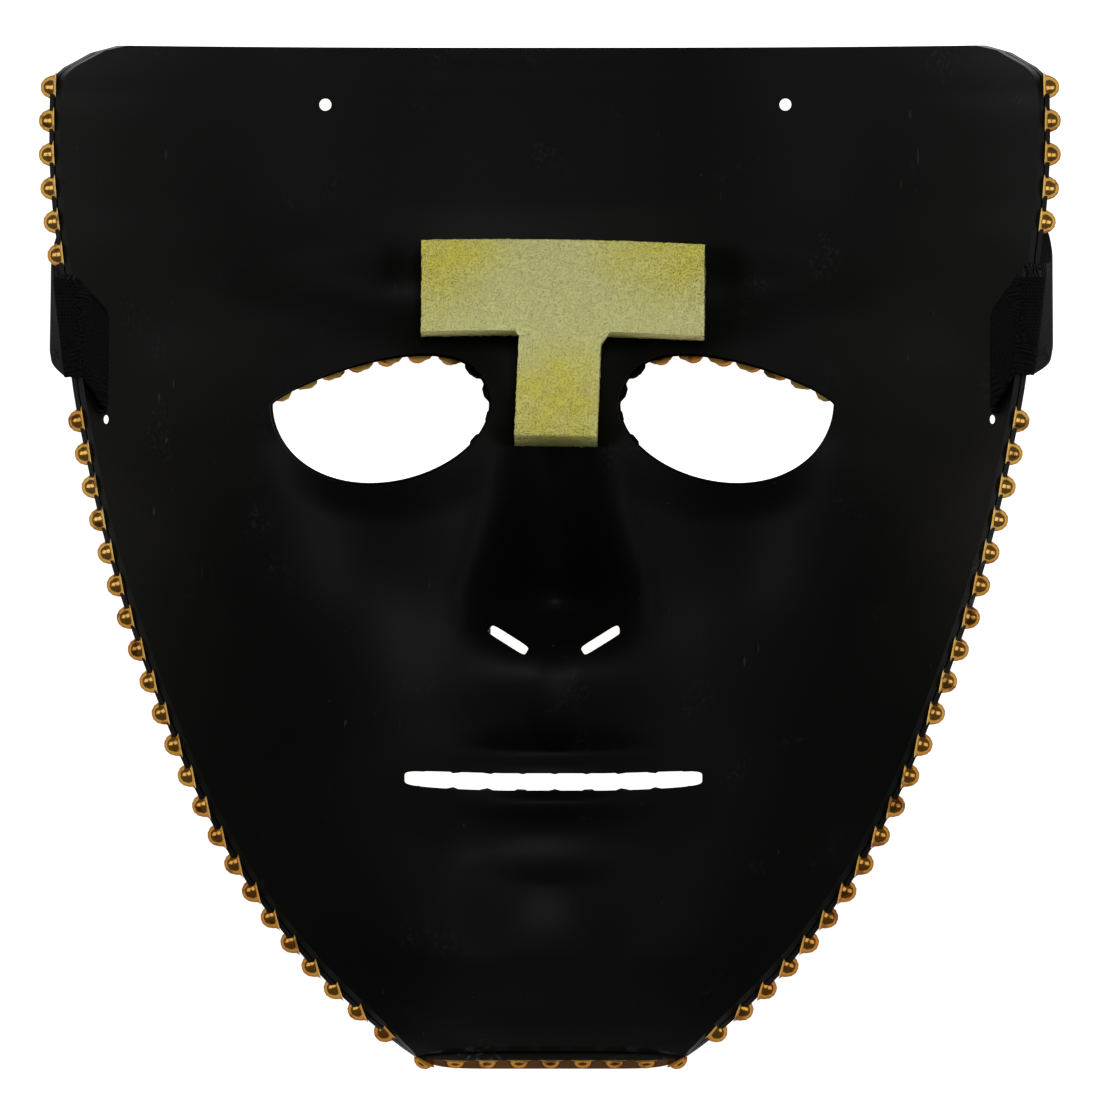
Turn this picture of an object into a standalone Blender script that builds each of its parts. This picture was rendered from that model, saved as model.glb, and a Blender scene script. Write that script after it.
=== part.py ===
"""Full-face costume mask, lying on its front with the hollow inside up.

+Y runs from the chin to the forehead and the floor is z = 0. The mask is a thin moulded shell with a
studded cover over its front, a foam pad glued inside the brow and an elastic through two temple slots.
"""

import math

import bmesh
import bpy
from mathutils import Matrix, Vector
from mathutils.bvhtree import BVHTree

MM = 0.001

# The face as a whole, measured on the front of the cover, under the studs
HALF_WIDTH = 93.1 * MM
FACE_HEIGHT = 188.3 * MM
DEPTH = 71.0 * MM
WALL_CURVE = 2.6  # how late each cross-section turns up into the side walls

# Layers, from the front to the inside
COVER_THICKNESS = 1.0 * MM
SHELL_THICKNESS = 1.2 * MM
CLEARANCE = 0.3 * MM
CLOTH_CLEARANCE = 0.6 * MM

# Studs
STUD_RADIUS = 2.75 * MM
STUD_TABLE_RADIUS = 1.15 * MM
STUD_HEIGHT = 2.8 * MM
STUD_SIDES = 8
STUD_PITCH = 6.3 * MM
STUD_EDGE_GAP = 0.25 * MM
STUD_ROOT = 0.45 * COVER_THICKNESS  # how deep a stud is set into the cover

# Openings
EYE_HALF_LENGTH = 20.0 * MM
EYE_UPPER = 9.1 * MM
EYE_LOWER = 14.6 * MM
EYE_UPPER_LEAN = -8.0 * MM
EYE_LOWER_LEAN = 2.0 * MM
# Each lid: how far its middle leans, how far it reaches, and how much its ends are pinched
EYE_UPPER_LID = (EYE_UPPER_LEAN, EYE_UPPER, 1.6)
EYE_LOWER_LID = (EYE_LOWER_LEAN, EYE_LOWER, 1.05)
EYE_SIDES = 26
MOUTH_HALF_LENGTH = 27.8 * MM
MOUTH_HALF_HEIGHT = 1.6 * MM
MOUTH_SMILE = 0.9 * MM
MOUTH_SIDES = 20
NOSTRIL_HALF_LENGTH = 4.1 * MM
NOSTRIL_HALF_HEIGHT = 0.9 * MM
NOSTRIL_TURN = math.radians(32)
HOLE_RADIUS = 1.15 * MM
HOLE_SIDES = 10

# Elastic and its two slots
STRAP_WIDTH = 18.5 * MM
STRAP_THICKNESS = 1.1 * MM
SLOT_FROM_RIM = 3.8 * MM  # across the face, at the middle of the elastic
SLOT_TOP_GAP = 0.4 * MM
SLOT_LOW_GAP = 2.2 * MM  # the elastic rides high in its slot
SLOT_WIDTH = STRAP_THICKNESS + 2 * CLOTH_CLEARANCE
BEND = 0.9 * MM
TAB_LENGTH = 6.0 * MM  # its end lies flat on the front, inward of the slot
# How far the lower and upper edges of the elastic climb on their way to the rim
LEFT_LIFT_LOW = 6.6 * MM
LEFT_LIFT_TOP = 7.0 * MM
RIGHT_LIFT_LOW = 7.0 * MM
RIGHT_LIFT_TOP = 9.0 * MM

# Foam pad, a T of one thickness
PAD_WIDTH = 53.0 * MM
PAD_BAR = 18.1 * MM
PAD_HEIGHT = 38.7 * MM
PAD_STEM = 16.4 * MM
PAD_THICKNESS = 7.0 * MM
PAD_OFF_CENTRE = 1.5 * MM

# The forehead lies on the elastic, and the stud on the tip of the nose touches the floor
FOREHEAD_FRONT = STUD_HEIGHT + STRAP_THICKNESS + CLEARANCE
SHELL_FRONT = COVER_THICKNESS + CLEARANCE
SHELL_INSIDE = SHELL_FRONT + SHELL_THICKNESS
BOTTOM_Y = -FACE_HEIGHT / 2

# Cross-sections: height share, half-width share, and the depth shares of the crown line and of the rim
SECTIONS = (
    (0.000, 0.272, 0.666, 0.690),
    (0.010, 0.301, 0.632, 0.697),
    (0.045, 0.385, 0.500, 0.735),
    (0.095, 0.485, 0.385, 0.810),
    (0.154, 0.578, 0.350, 0.885),
    (0.214, 0.653, 0.318, 0.940),
    (0.273, 0.713, 0.282, 0.975),
    (0.332, 0.763, 0.256, 0.995),
    (0.393, 0.810, 0.242, 1.000),
    (0.452, 0.851, 0.232, 0.990),
    (0.531, 0.896, 0.228, 0.970),
    (0.601, 0.927, 0.212, 0.950),
    (0.660, 0.950, 0.160, 0.925),
    (0.730, 0.967, 0.068, 0.890),
    (0.800, 0.983, 0.014, 0.860),
    (0.850, 0.995, 0.000, 0.840),
    (0.900, 1.000, 0.000, 0.825),
    (0.949, 0.999, 0.001, 0.812),
    (0.968, 0.991, 0.002, 0.795),
    (0.978, 0.972, 0.002, 0.756),
    (0.988, 0.936, 0.003, 0.685),
    (0.996, 0.908, 0.003, 0.633),
    (1.000, 0.870, 0.003, 0.567),
)

# The nose: height share, half-width as a share of the half-width of the face, and share of its full drop
NOSE = (
    (0.345, 0.16, 0.00),
    (0.375, 0.17, 0.02),
    (0.392, 0.19, 0.15),
    (0.410, 0.21, 0.50),
    (0.430, 0.22, 0.90),
    (0.450, 0.22, 1.00),
    (0.500, 0.19, 0.78),
    (0.560, 0.16, 0.50),
    (0.620, 0.14, 0.24),
    (0.665, 0.13, 0.08),
    (0.720, 0.12, 0.00),
)

# Dents and swellings: places across and up as shares, then half-length, half-height and rise as shares
# of the half-width; a negative rise bulges to the front. Those off the centre line come in pairs.
RELIEF = (
    ("socket", 0.350, 0.625, 0.300, 0.200, 0.055),
    ("brow", 0.400, 0.748, 0.300, 0.115, -0.032),
    ("cheek", 0.500, 0.450, 0.320, 0.340, -0.048),
    ("temple", 0.720, 0.640, 0.200, 0.260, 0.020),
    ("muzzle", 0.000, 0.275, 0.380, 0.230, -0.045),
    ("upper lip", 0.000, 0.300, 0.270, 0.060, -0.024),
    ("lower lip", 0.000, 0.245, 0.240, 0.060, -0.028),
    ("chin crease", 0.000, 0.200, 0.250, 0.070, 0.014),
    ("chin", 0.000, 0.148, 0.210, 0.170, -0.034),
    ("groove under the nose", 0.000, 0.345, 0.060, 0.090, 0.012),
)

# Where the openings, the elastic and the pad lie: across and up, as shares
EYE_AT = (0.347, 0.645)
MOUTH_AT = (0.0, 0.2702)
NOSTRIL_AT = (0.093, 0.4115)
HOLE_AT = (0.462, 0.943)
STRAP_UP = 0.686
PAD_TOP_UP = 0.809

# Grid lines of the moulded skins, closer where the nose and the corners turn
ROWS = (
    0.000, 0.012, 0.027, 0.050, 0.085, 0.125, 0.165, 0.205, 0.240, 0.271, 0.302, 0.335, 0.368, 0.392, 0.412,
    0.433, 0.450, 0.475, 0.510, 0.550, 0.592, 0.635, 0.680, 0.730, 0.790, 0.850, 0.910, 0.949, 0.970, 0.985,
    1.000,
)
COLUMNS = 18
CROWDING = 0.45  # how much closer the columns stand at the centre line

# The hanging part of the elastic: share of the half-width, share of the way from the slot's height up to
# the forehead line, and share of the rim's height; the last one lies on the floor
STRAP_FALL = (
    (0.996, 0.30, 0.82),
    (0.990, 0.46, 0.58),
    (0.950, 0.64, 0.32),
    (0.870, 0.82, 0.11),
    (0.740, 0.94, 0.02),
    (0.620, 1.00, 0.00),
)
FOREHEAD_UP = 0.858
FALL_STEPS = 2
FLOOR_STEPS = 4

# Studs that carry the mask: across and up from the forehead line, in pitches
FOREHEAD_STUDS = [(i - 1, j - 0.5) for i in range(3) for j in range(2)]

# The stretch of each eye's outline that has studs showing: from its outer corner over the top to the nose
EYE_STUDS_TO = math.radians(215)


def blend(table, share, column):
    """One column of a table at any share of its first column, smooth and without overshoot."""
    share = min(max(share, table[0][0]), table[-1][0])
    i = next(k for k in range(len(table) - 1) if share <= table[k + 1][0])

    def pitch(k):
        return (table[k + 1][column] - table[k][column]) / (table[k + 1][0] - table[k][0])

    def slope(k):
        if k in (0, len(table) - 1):
            return pitch(min(k, len(table) - 2))
        before, after = pitch(k - 1), pitch(k)
        return 0.0 if before * after <= 0 else 2 * before * after / (before + after)

    length = table[i + 1][0] - table[i][0]
    t = (share - table[i][0]) / length
    start, end = table[i][column], table[i + 1][column]
    return (
        start * (2 * t**3 - 3 * t**2 + 1)
        + end * (3 * t**2 - 2 * t**3)
        + length * slope(i) * (t**3 - 2 * t**2 + t)
        + length * slope(i + 1) * (t**3 - t**2)
    )


def bell(distance):
    """A smooth swelling that is 1 at its middle and 0 from distance 1 on."""
    return (1 - distance**2) ** 2 if distance < 1 else 0.0


def height_share(y):
    return (y - BOTTOM_Y) / FACE_HEIGHT


def up(share):
    return BOTTOM_Y + FACE_HEIGHT * share


def half_width(y):
    return HALF_WIDTH * blend(SECTIONS, height_share(y), 1)


def dents(x, y):
    """Everything that stands off the plain cross-sections, apart from the nose."""
    total = 0.0
    for _, across, high, length, height, rise in RELIEF:
        dx = (abs(x) - across * HALF_WIDTH) / (length * HALF_WIDTH)
        dy = (y - up(high)) / (height * HALF_WIDTH)
        total += rise * HALF_WIDTH * bell(math.hypot(dx, dy))
    return total


def plain_front(x, y):
    """Height of the cover's front without the nose."""
    share = height_share(y)
    crown = FOREHEAD_FRONT + DEPTH * blend(SECTIONS, share, 2)
    rim = FOREHEAD_FRONT + DEPTH * blend(SECTIONS, share, 3)
    return crown + (rim - crown) * abs(x / half_width(y)) ** WALL_CURVE + dents(x, y)


def nose_tip():
    return up(max(NOSE, key=lambda row: row[2])[0])


NOSE_DROP = plain_front(0.0, nose_tip()) - STUD_HEIGHT


def front(x, y):
    """Height of the cover's front, under the studs."""
    share = height_share(y)
    nose = NOSE_DROP * blend(NOSE, share, 2) * bell(abs(x) / (HALF_WIDTH * blend(NOSE, share, 1)))
    return plain_front(x, y) - nose


def layer(x, y, inward=0.0):
    """A point that lies this far behind the cover's front, and the direction into the hollow there."""
    step = 0.2 * MM
    low, high = max(y - step, BOTTOM_Y), min(y + step, BOTTOM_Y + FACE_HEIGHT)
    left, right = x - step, x + step
    slope_x = (front(right, y) - front(left, y)) / (2 * step)
    slope_y = (front(x, high) - front(x, low)) / (high - low)
    if y >= BOTTOM_Y + FACE_HEIGHT - step:
        slope_y = 0.0  # the top edge is one flat cut
    normal = Vector((-slope_x, -slope_y, 1.0)).normalized()
    return Vector((x, y, front(x, y))) + normal * inward, normal


def crowded(share):
    """Column place from -1 to 1, closer together at the centre line."""
    return share * (1 - CROWDING + CROWDING * share**2)


def finish(name, bm, material, smooth=True):
    bmesh.ops.recalc_face_normals(bm, faces=bm.faces)
    if bm.calc_volume(signed=True) < 0:
        bmesh.ops.reverse_faces(bm, faces=bm.faces)
    mesh = bpy.data.meshes.new(name)
    bm.to_mesh(mesh)
    bm.free()
    if smooth:
        mesh.shade_smooth()
        mesh.set_sharp_from_angle(angle=math.radians(35))
    thing = bpy.data.objects.new(name, mesh)
    bpy.context.scene.collection.objects.link(thing)
    if material:
        mesh.materials.append(material)
    return thing


def paint(name, colour, roughness, metallic=0.0):
    material = bpy.data.materials.new(name)
    material.use_nodes = True
    shader = material.node_tree.nodes["Principled BSDF"]
    shader.inputs["Base Color"].default_value = (*colour, 1.0)
    shader.inputs["Roughness"].default_value = roughness
    shader.inputs["Metallic"].default_value = metallic
    return material


def slab(columns, rows, place):
    """A closed slab: place gives a grid point of the far and of the near skin."""
    bm = bmesh.new()
    bmesh.ops.create_grid(bm, x_segments=columns, y_segments=rows, size=1.0)
    bmesh.ops.triangulate(bm, faces=bm.faces, quad_method="FIXED")

    def grid_line(v):
        return round((v.co.x + 1) / 2 * columns), round((v.co.y + 1) / 2 * rows)

    far = {v: grid_line(v) for v in bm.verts}
    grown = bmesh.ops.extrude_face_region(bm, geom=list(bm.faces), use_keep_orig=True)["geom"]
    near = {item: grid_line(item) for item in grown if isinstance(item, bmesh.types.BMVert)}
    for skin, places in enumerate((far, near)):
        for v, (i, j) in places.items():
            v.co = place(i, j, skin)
    return bm


def moulded(inward_far, inward_near):
    """A skin of the whole face between two depths behind the cover's front."""

    def place(i, j, skin):
        y = up(ROWS[j])
        x = half_width(y) * crowded(2 * i / COLUMNS - 1)
        return layer(x, y, (inward_far, inward_near)[skin])[0]

    return slab(COLUMNS, len(ROWS) - 1, place)


def eye_edge(side, angle, grow=0.0):
    """Almond outline of an eye opening, round at the nose and pointed at the temple."""
    along, upward = math.cos(angle), math.sin(angle)
    lean, reach, sharpness = EYE_UPPER_LID if upward > 0 else EYE_LOWER_LID
    x = EYE_AT[0] * HALF_WIDTH + (EYE_HALF_LENGTH + grow) * along + lean * upward**2
    y = up(EYE_AT[1]) + math.copysign((reach + grow) * abs(upward) ** sharpness, upward)
    return side * x, y


def slit_edge(angle, half_length, half_height, smile=0.0):
    """Outline of a slit with round ends, which may curve up at its ends."""
    squareness = 0.35
    x = half_length * math.copysign(abs(math.cos(angle)) ** squareness, math.cos(angle))
    y = half_height * math.copysign(abs(math.sin(angle)) ** squareness, math.sin(angle))
    return x, y + smile * (x / half_length) ** 2


def punch(bm, sides, outline):
    """An upright prism through the whole depth, whose outline gives x and y at an angle."""
    ring = bmesh.ops.create_circle(bm, cap_ends=True, segments=sides, radius=1.0)["verts"]
    for k, v in enumerate(ring):
        v.co = (*outline(math.tau * (k + 0.5) / sides), 0.0)
    face = ring[0].link_faces[0]
    grown = bmesh.ops.extrude_face_region(bm, geom=[face], use_keep_orig=True)["geom"]
    for item in grown:
        if isinstance(item, bmesh.types.BMVert):
            item.co.z += DEPTH + FOREHEAD_FRONT + SHELL_INSIDE


def slot_x():
    return half_width(up(STRAP_UP)) - SLOT_FROM_RIM


def wall(side, y):
    """Slot point, length and directions of the wall's margin from the slot to the rim at this height."""
    rim = Vector((half_width(y), y, front(half_width(y), y)))
    column_x = half_width(y) * crowded(1 - 2 / COLUMNS)
    column = Vector((column_x, y, front(column_x, y)))
    along = (rim - column).normalized()
    slot = column.lerp(rim, (slot_x() - column_x) / (rim.x - column_x))
    inward = Vector((-along.z, 0.0, along.x))
    flip = Matrix.Diagonal((side, 1.0, 1.0))
    return flip @ slot, (rim - slot).length, flip @ along, flip @ inward


def slot_punch(bm, side):
    """Cutter of one temple slot, square to the wall all the way along."""
    steps = 4
    reach = 3 * SHELL_INSIDE
    low = up(STRAP_UP) - STRAP_WIDTH / 2 - SLOT_LOW_GAP
    high = up(STRAP_UP) + STRAP_WIDTH / 2 + SLOT_TOP_GAP

    def place(i, j, skin):
        y = low + (high - low) * j / steps
        slot, _, along, inward = wall(side, y)
        return slot + along * SLOT_WIDTH * (i - 0.5) + inward * (reach if skin else SHELL_INSIDE - reach)

    block = slab(1, steps, place)
    mesh = bpy.data.meshes.new("slot")
    block.to_mesh(mesh)
    block.free()
    bm.from_mesh(mesh)
    bpy.data.meshes.remove(mesh)


def make_openings():
    """One cutter for every opening in the shell and its cover."""
    bm = bmesh.new()
    for side in (-1, 1):
        punch(bm, EYE_SIDES, lambda angle, side=side: eye_edge(side, angle))

        def nostril(angle, side=side):
            x, y = slit_edge(angle, NOSTRIL_HALF_LENGTH, NOSTRIL_HALF_HEIGHT)
            turn = side * NOSTRIL_TURN
            centre_x, centre_y = side * NOSTRIL_AT[0] * HALF_WIDTH, up(NOSTRIL_AT[1])
            return (
                centre_x + x * math.cos(turn) - y * math.sin(turn),
                centre_y + x * math.sin(turn) + y * math.cos(turn),
            )

        def hole(angle, side=side):
            return (
                side * HOLE_AT[0] * HALF_WIDTH + HOLE_RADIUS * math.cos(angle),
                up(HOLE_AT[1]) + HOLE_RADIUS * math.sin(angle),
            )

        punch(bm, HOLE_SIDES, nostril)
        punch(bm, HOLE_SIDES, hole)
        slot_punch(bm, side)

    def mouth(angle):
        x, y = slit_edge(angle, MOUTH_HALF_LENGTH, MOUTH_HALF_HEIGHT, MOUTH_SMILE)
        return MOUTH_AT[0] * HALF_WIDTH + x, up(MOUTH_AT[1]) + y

    punch(bm, MOUTH_SIDES, mouth)
    return hidden(finish("openings", bm, None, smooth=False))


def hidden(cutter):
    cutter.hide_render = True
    cutter.display_type = "WIRE"
    return cutter


def combine(thing, other, operation):
    modifier = thing.modifiers.new(operation.lower(), "BOOLEAN")
    modifier.operation = operation
    modifier.solver = "EXACT"
    modifier.object = other


def evenly(points, pitch):
    """Points at even steps near the pitch along a polyline, the ends included."""
    lengths = [(b - a).length for a, b in zip(points, points[1:])]
    count = max(1, round(sum(lengths) / pitch))
    placed = []
    for k in range(count + 1):
        left = sum(lengths) * k / count
        i = 0
        while i < len(lengths) - 1 and left > lengths[i]:
            left -= lengths[i]
            i += 1
        placed.append(points[i].lerp(points[i + 1], min(left / lengths[i], 1.0)))
    return placed


def rim_track():
    """Line of the edge studs, down one side, along the chin edge and up the other side."""
    inset = STUD_RADIUS + STUD_EDGE_GAP
    top, chin = 0.958, 0.012

    def beside(y):
        step = 0.5 * MM
        width = half_width(y)
        narrowing = (half_width(y + step) - half_width(y - step)) / (2 * step)
        steepness = (front(width, y) - front(width - step, y)) / step
        return width - inset * math.hypot(1, narrowing) / math.hypot(1, steepness)

    heights = [up(top + (chin - top) * k / 60) for k in range(61)]
    right = [(beside(y), y) for y in heights]
    left = [(-x, y) for x, y in reversed(right)]
    return [layer(x, y)[0] for x, y in right + left]


def lifts(side):
    """How far the lower and the upper edge of the elastic climb before they fold over the rim."""
    return (RIGHT_LIFT_LOW, RIGHT_LIFT_TOP) if side > 0 else (LEFT_LIFT_LOW, LEFT_LIFT_TOP)


def under_elastic(x, y):
    """True where a stud would stand in the way of the elastic's fold over the rim."""
    low, high = lifts(x)
    reach = STRAP_WIDTH / 2 + STUD_RADIUS + CLEARANCE
    return abs(x) > slot_x() and low - reach < y - up(STRAP_UP) < high + reach


def stud_places():
    """Plan places of the studs that show at the edges, and of those that carry the mask."""
    places = [(p.x, p.y) for p in evenly(rim_track(), STUD_PITCH) if not under_elastic(p.x, p.y)]
    grow = STUD_RADIUS + STUD_EDGE_GAP
    for side in (-1, 1):
        lid = [eye_edge(side, EYE_STUDS_TO * k / 72, grow) for k in range(73)]
        lid = [layer(x, y)[0] for x, y in lid]
        places += [(p.x, p.y) for p in evenly(lid, STUD_PITCH)]
    reach = MOUTH_HALF_LENGTH - STUD_RADIUS
    count = round(2 * reach / STUD_PITCH)
    for k in range(count + 1):
        x = MOUTH_AT[0] * HALF_WIDTH + reach * (2 * k / count - 1)
        lip = up(MOUTH_AT[1]) + MOUTH_SMILE * (x / MOUTH_HALF_LENGTH) ** 2 + MOUTH_HALF_HEIGHT
        places.append((x, lip + grow))
    places.append((0.0, nose_tip()))
    for across, high in FOREHEAD_STUDS:
        places.append((across * STUD_PITCH, up(FOREHEAD_UP) + high * STUD_PITCH))
    return places


def make_studs(cover):
    """Eight-sided studs with a flat table, each square on the front of the faceted cover."""
    bm = bmesh.new()
    facets = BVHTree.FromObject(cover, bpy.context.evaluated_depsgraph_get())
    for x, y in stud_places():
        foot, normal = layer(x, y)
        foot = facets.ray_cast(Vector((x, y, -DEPTH)), Vector((0.0, 0.0, 1.0)))[0] or foot
        if (x, y) == (0.0, nose_tip()):
            normal = Vector((0.0, 0.0, 1.0))
        turn = normal.to_track_quat("-Z", "Y").to_matrix().to_4x4()
        centre = foot - normal * (STUD_HEIGHT - STUD_ROOT) / 2
        bmesh.ops.create_cone(
            bm,
            cap_ends=True,
            segments=STUD_SIDES,
            radius1=STUD_RADIUS,
            radius2=STUD_TABLE_RADIUS,
            depth=STUD_HEIGHT + STUD_ROOT,
            matrix=Matrix.Translation(centre) @ turn,
        )
    return hidden(finish("studs", bm, None, smooth=False))


def make_shell(openings):
    black = paint("black moulded plastic", (0.006, 0.006, 0.007), 0.38)
    shell = finish("mask_shell", moulded(SHELL_FRONT, SHELL_INSIDE), black)
    combine(shell, openings, "DIFFERENCE")


def make_cover(openings):
    gold = paint("gold studs", (0.83, 0.53, 0.16), 0.25, metallic=1.0)
    cover = finish("stud_cover", moulded(0.0, COVER_THICKNESS), gold, smooth=False)
    combine(cover, make_studs(cover), "UNION")
    combine(cover, openings, "DIFFERENCE")


def make_pad():
    """Foam T: its back is the bed that the shell's inside leaves it."""
    bar_cells, stem_cells, bar_rows, stem_rows = 4, 3, 3, 4
    columns = 2 * bar_cells + stem_cells
    top = up(PAD_TOP_UP)
    deep = 2 * PAD_THICKNESS

    def line(k, parts):
        """Place of grid line k along runs of cells, each run given as its cells and length."""
        place = 0.0
        for cells, length in parts:
            done = min(max(k, 0), cells)
            place += length * done / cells
            k -= cells
        return place

    wing = (PAD_WIDTH - PAD_STEM) / 2
    runs_across = ((bar_cells, wing), (stem_cells, PAD_STEM), (bar_cells, wing))
    runs_down = ((bar_rows, PAD_BAR), (stem_rows, PAD_HEIGHT - PAD_BAR))
    across = [line(i, runs_across) for i in range(columns + 1)]
    drops = [line(j, runs_down) for j in range(bar_rows + stem_rows + 1)]

    def place(i, j, near):
        x = across[i] - PAD_WIDTH / 2
        y = top - drops[j]
        _, normal = layer(PAD_STEM / 2, y)
        normal.x = 0.0
        normal.normalize()
        face = layer(max(abs(x), PAD_STEM / 2), y, SHELL_INSIDE + CLEARANCE)[0].z + PAD_THICKNESS / normal.z
        point = Vector((x + PAD_OFF_CENTRE, y, face))
        return point if near else point - normal * deep

    bm = bmesh.new()
    bmesh.ops.create_grid(bm, x_segments=columns, y_segments=len(drops) - 1, size=1.0)

    def grid_line(v):
        return round((v.co.x + 1) / 2 * columns), round((1 - v.co.y) / 2 * (len(drops) - 1))

    def beside_stem(face):
        lines = [grid_line(v) for v in face.verts]
        outside = max(i for i, _ in lines) <= bar_cells or min(i for i, _ in lines) >= columns - bar_cells
        return outside and min(j for _, j in lines) >= bar_rows

    bmesh.ops.delete(bm, geom=[f for f in bm.faces if beside_stem(f)], context="FACES")
    back = {v: grid_line(v) for v in bm.verts}
    grown = bmesh.ops.extrude_face_region(bm, geom=list(bm.faces), use_keep_orig=True)["geom"]
    face = {item: grid_line(item) for item in grown if isinstance(item, bmesh.types.BMVert)}
    for near, places in enumerate((back, face)):
        for v, (i, j) in places.items():
            v.co = place(i, j, near)
    foam = paint("pale green foam", (0.72, 0.70, 0.33), 0.95)
    pad = finish("foam_pad", bm, foam)
    bed = hidden(finish("pad_bed", moulded(-2 * deep, SHELL_INSIDE + CLEARANCE), None, smooth=False))
    combine(pad, bed, "DIFFERENCE")


def rounded(points, radius, steps=3):
    """A polyline whose inner corners are turned at this radius."""
    line = [points[0]]
    for before, corner, after in zip(points, points[1:], points[2:]):
        start = corner + (before - corner).normalized() * radius
        end = corner + (after - corner).normalized() * radius
        for k in range(steps):
            t = k / (steps - 1)
            line.append(start * (1 - t) ** 2 + corner * 2 * t * (1 - t) + end * t**2)
    return line + [points[-1]]


def flowing(points, steps):
    """A smooth curve through the points, which starts at the second and ends at the last but one."""
    line = []
    for a, b, c, d in zip(points, points[1:], points[2:], points[3:]):
        start, end = (c - a) / 2, (d - b) / 2
        for k in range(steps):
            t = k / steps
            onward = b * (2 * t**3 - 3 * t**2 + 1) + c * (3 * t**2 - 2 * t**3)
            line.append(onward + start * (t**3 - 2 * t**2 + t) + end * (t**3 - t**2))
    return line + [points[-2]]


def strap_edge(side, upper):
    """Half of one edge of the elastic, from its sewn end to the middle of the floor stretch."""
    half = STRAP_WIDTH * (0.5 if upper else -0.5)
    y = up(STRAP_UP) + half
    lift = lifts(side)[upper]
    inside = SHELL_INSIDE + CLOTH_CLEARANCE + STRAP_THICKNESS / 2
    tab = -(CLOTH_CLEARANCE + STRAP_THICKNESS / 2)
    outside = -(CLEARANCE + STRAP_THICKNESS / 2)
    _, lifted_to_rim, _, _ = wall(side, y + lift)
    past = CLOTH_CLEARANCE + STRAP_THICKNESS / 2
    loop = rounded(
        [
            Vector((-TAB_LENGTH, 0.0, tab)),
            Vector((0.0, 0.0, tab)),
            Vector((0.0, 0.0, inside)),
            Vector((lifted_to_rim + past, lift, inside)),
            Vector((lifted_to_rim + past, lift, outside)),
            Vector((lifted_to_rim - 2 * BEND, lift, outside)),
        ],
        BEND,
    )
    edge = []
    for along_by, climb, offset in loop[:-1]:
        slot, _, along, inward = wall(side, y + climb)
        edge.append(slot + along * along_by + inward * offset)
    rim_height = wall(side, y + lift)[0].z
    floor_y = up(FOREHEAD_UP)
    hang = [edge[-2], edge[-1]]
    for width_share, climb_share, height in STRAP_FALL:
        centre_y = up(STRAP_UP) + (floor_y - up(STRAP_UP)) * climb_share
        x = side * HALF_WIDTH * width_share
        hang.append(Vector((x, centre_y + half, STRAP_THICKNESS / 2 + rim_height * height)))
    landing = hang[-1]
    hang.append(landing + Vector((-side * (abs(hang[-2].x) - abs(landing.x)), 0.0, 0.0)))
    edge = edge[:-1] + flowing(hang, FALL_STEPS)
    for point in edge:
        point.z = max(point.z, STRAP_THICKNESS / 2)
    for k in range(1, FLOOR_STEPS + 1):
        edge.append(Vector((landing.x * (1 - k / FLOOR_STEPS), landing.y, landing.z)))
    return edge


def make_strap():
    """The elastic: sewn end, slot, over the rim, down to the floor and across it to the other side."""
    edges = []
    for upper in (False, True):
        left, right = strap_edge(-1, upper), strap_edge(1, upper)
        edges.append(left + right[-2::-1])
    last = len(edges[0]) - 1

    def place(i, j, skin):
        here = edges[j][i]
        run = edges[j][min(i + 1, last)] - edges[j][max(i - 1, 0)]
        thick = run.cross(edges[1][i] - edges[0][i]).normalized()
        return here + thick * STRAP_THICKNESS * (skin - 0.5)

    cloth = paint("black elastic", (0.008, 0.008, 0.009), 0.8)
    finish("elastic_strap", slab(last, 1, place), cloth)


def centre_on_origin():
    """Moves the origin to the middle of the outline on the floor."""
    solids = [thing for thing in bpy.context.scene.objects if not thing.hide_render]
    depsgraph = bpy.context.evaluated_depsgraph_get()
    low, high = Vector((math.inf,) * 3), Vector((-math.inf,) * 3)
    for thing in solids:
        for v in thing.evaluated_get(depsgraph).data.vertices:
            low = Vector(map(min, low, v.co))
            high = Vector(map(max, high, v.co))
    shift = Vector((-(low.x + high.x) / 2, -(low.y + high.y) / 2, -low.z))
    for thing in bpy.context.scene.objects:
        thing.data.transform(Matrix.Translation(shift))


def main():
    for thing in list(bpy.data.objects):
        bpy.data.objects.remove(thing, do_unlink=True)
    openings = make_openings()
    make_shell(openings)
    make_cover(openings)
    make_pad()
    make_strap()
    centre_on_origin()


main()
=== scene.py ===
"""Looks of the studded full-face mask: it lies on its front and is seen from above, into its hollow."""

import math

import bmesh
import bpy
from mathutils import Matrix, Vector, noise
from mathutils.kdtree import KDTree


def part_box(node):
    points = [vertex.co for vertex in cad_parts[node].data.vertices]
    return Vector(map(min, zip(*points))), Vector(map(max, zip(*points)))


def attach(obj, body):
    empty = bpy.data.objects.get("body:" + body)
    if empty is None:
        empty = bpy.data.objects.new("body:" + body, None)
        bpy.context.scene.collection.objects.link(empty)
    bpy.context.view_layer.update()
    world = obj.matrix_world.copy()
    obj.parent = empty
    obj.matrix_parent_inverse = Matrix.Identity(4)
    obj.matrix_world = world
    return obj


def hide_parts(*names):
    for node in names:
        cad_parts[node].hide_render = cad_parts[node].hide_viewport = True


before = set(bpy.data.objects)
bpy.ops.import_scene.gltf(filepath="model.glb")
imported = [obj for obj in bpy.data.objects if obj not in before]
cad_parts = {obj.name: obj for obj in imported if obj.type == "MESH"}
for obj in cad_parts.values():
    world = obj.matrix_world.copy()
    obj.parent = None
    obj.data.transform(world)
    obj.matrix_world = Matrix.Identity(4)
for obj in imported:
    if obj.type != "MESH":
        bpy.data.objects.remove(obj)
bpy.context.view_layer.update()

MM = 0.001

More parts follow.
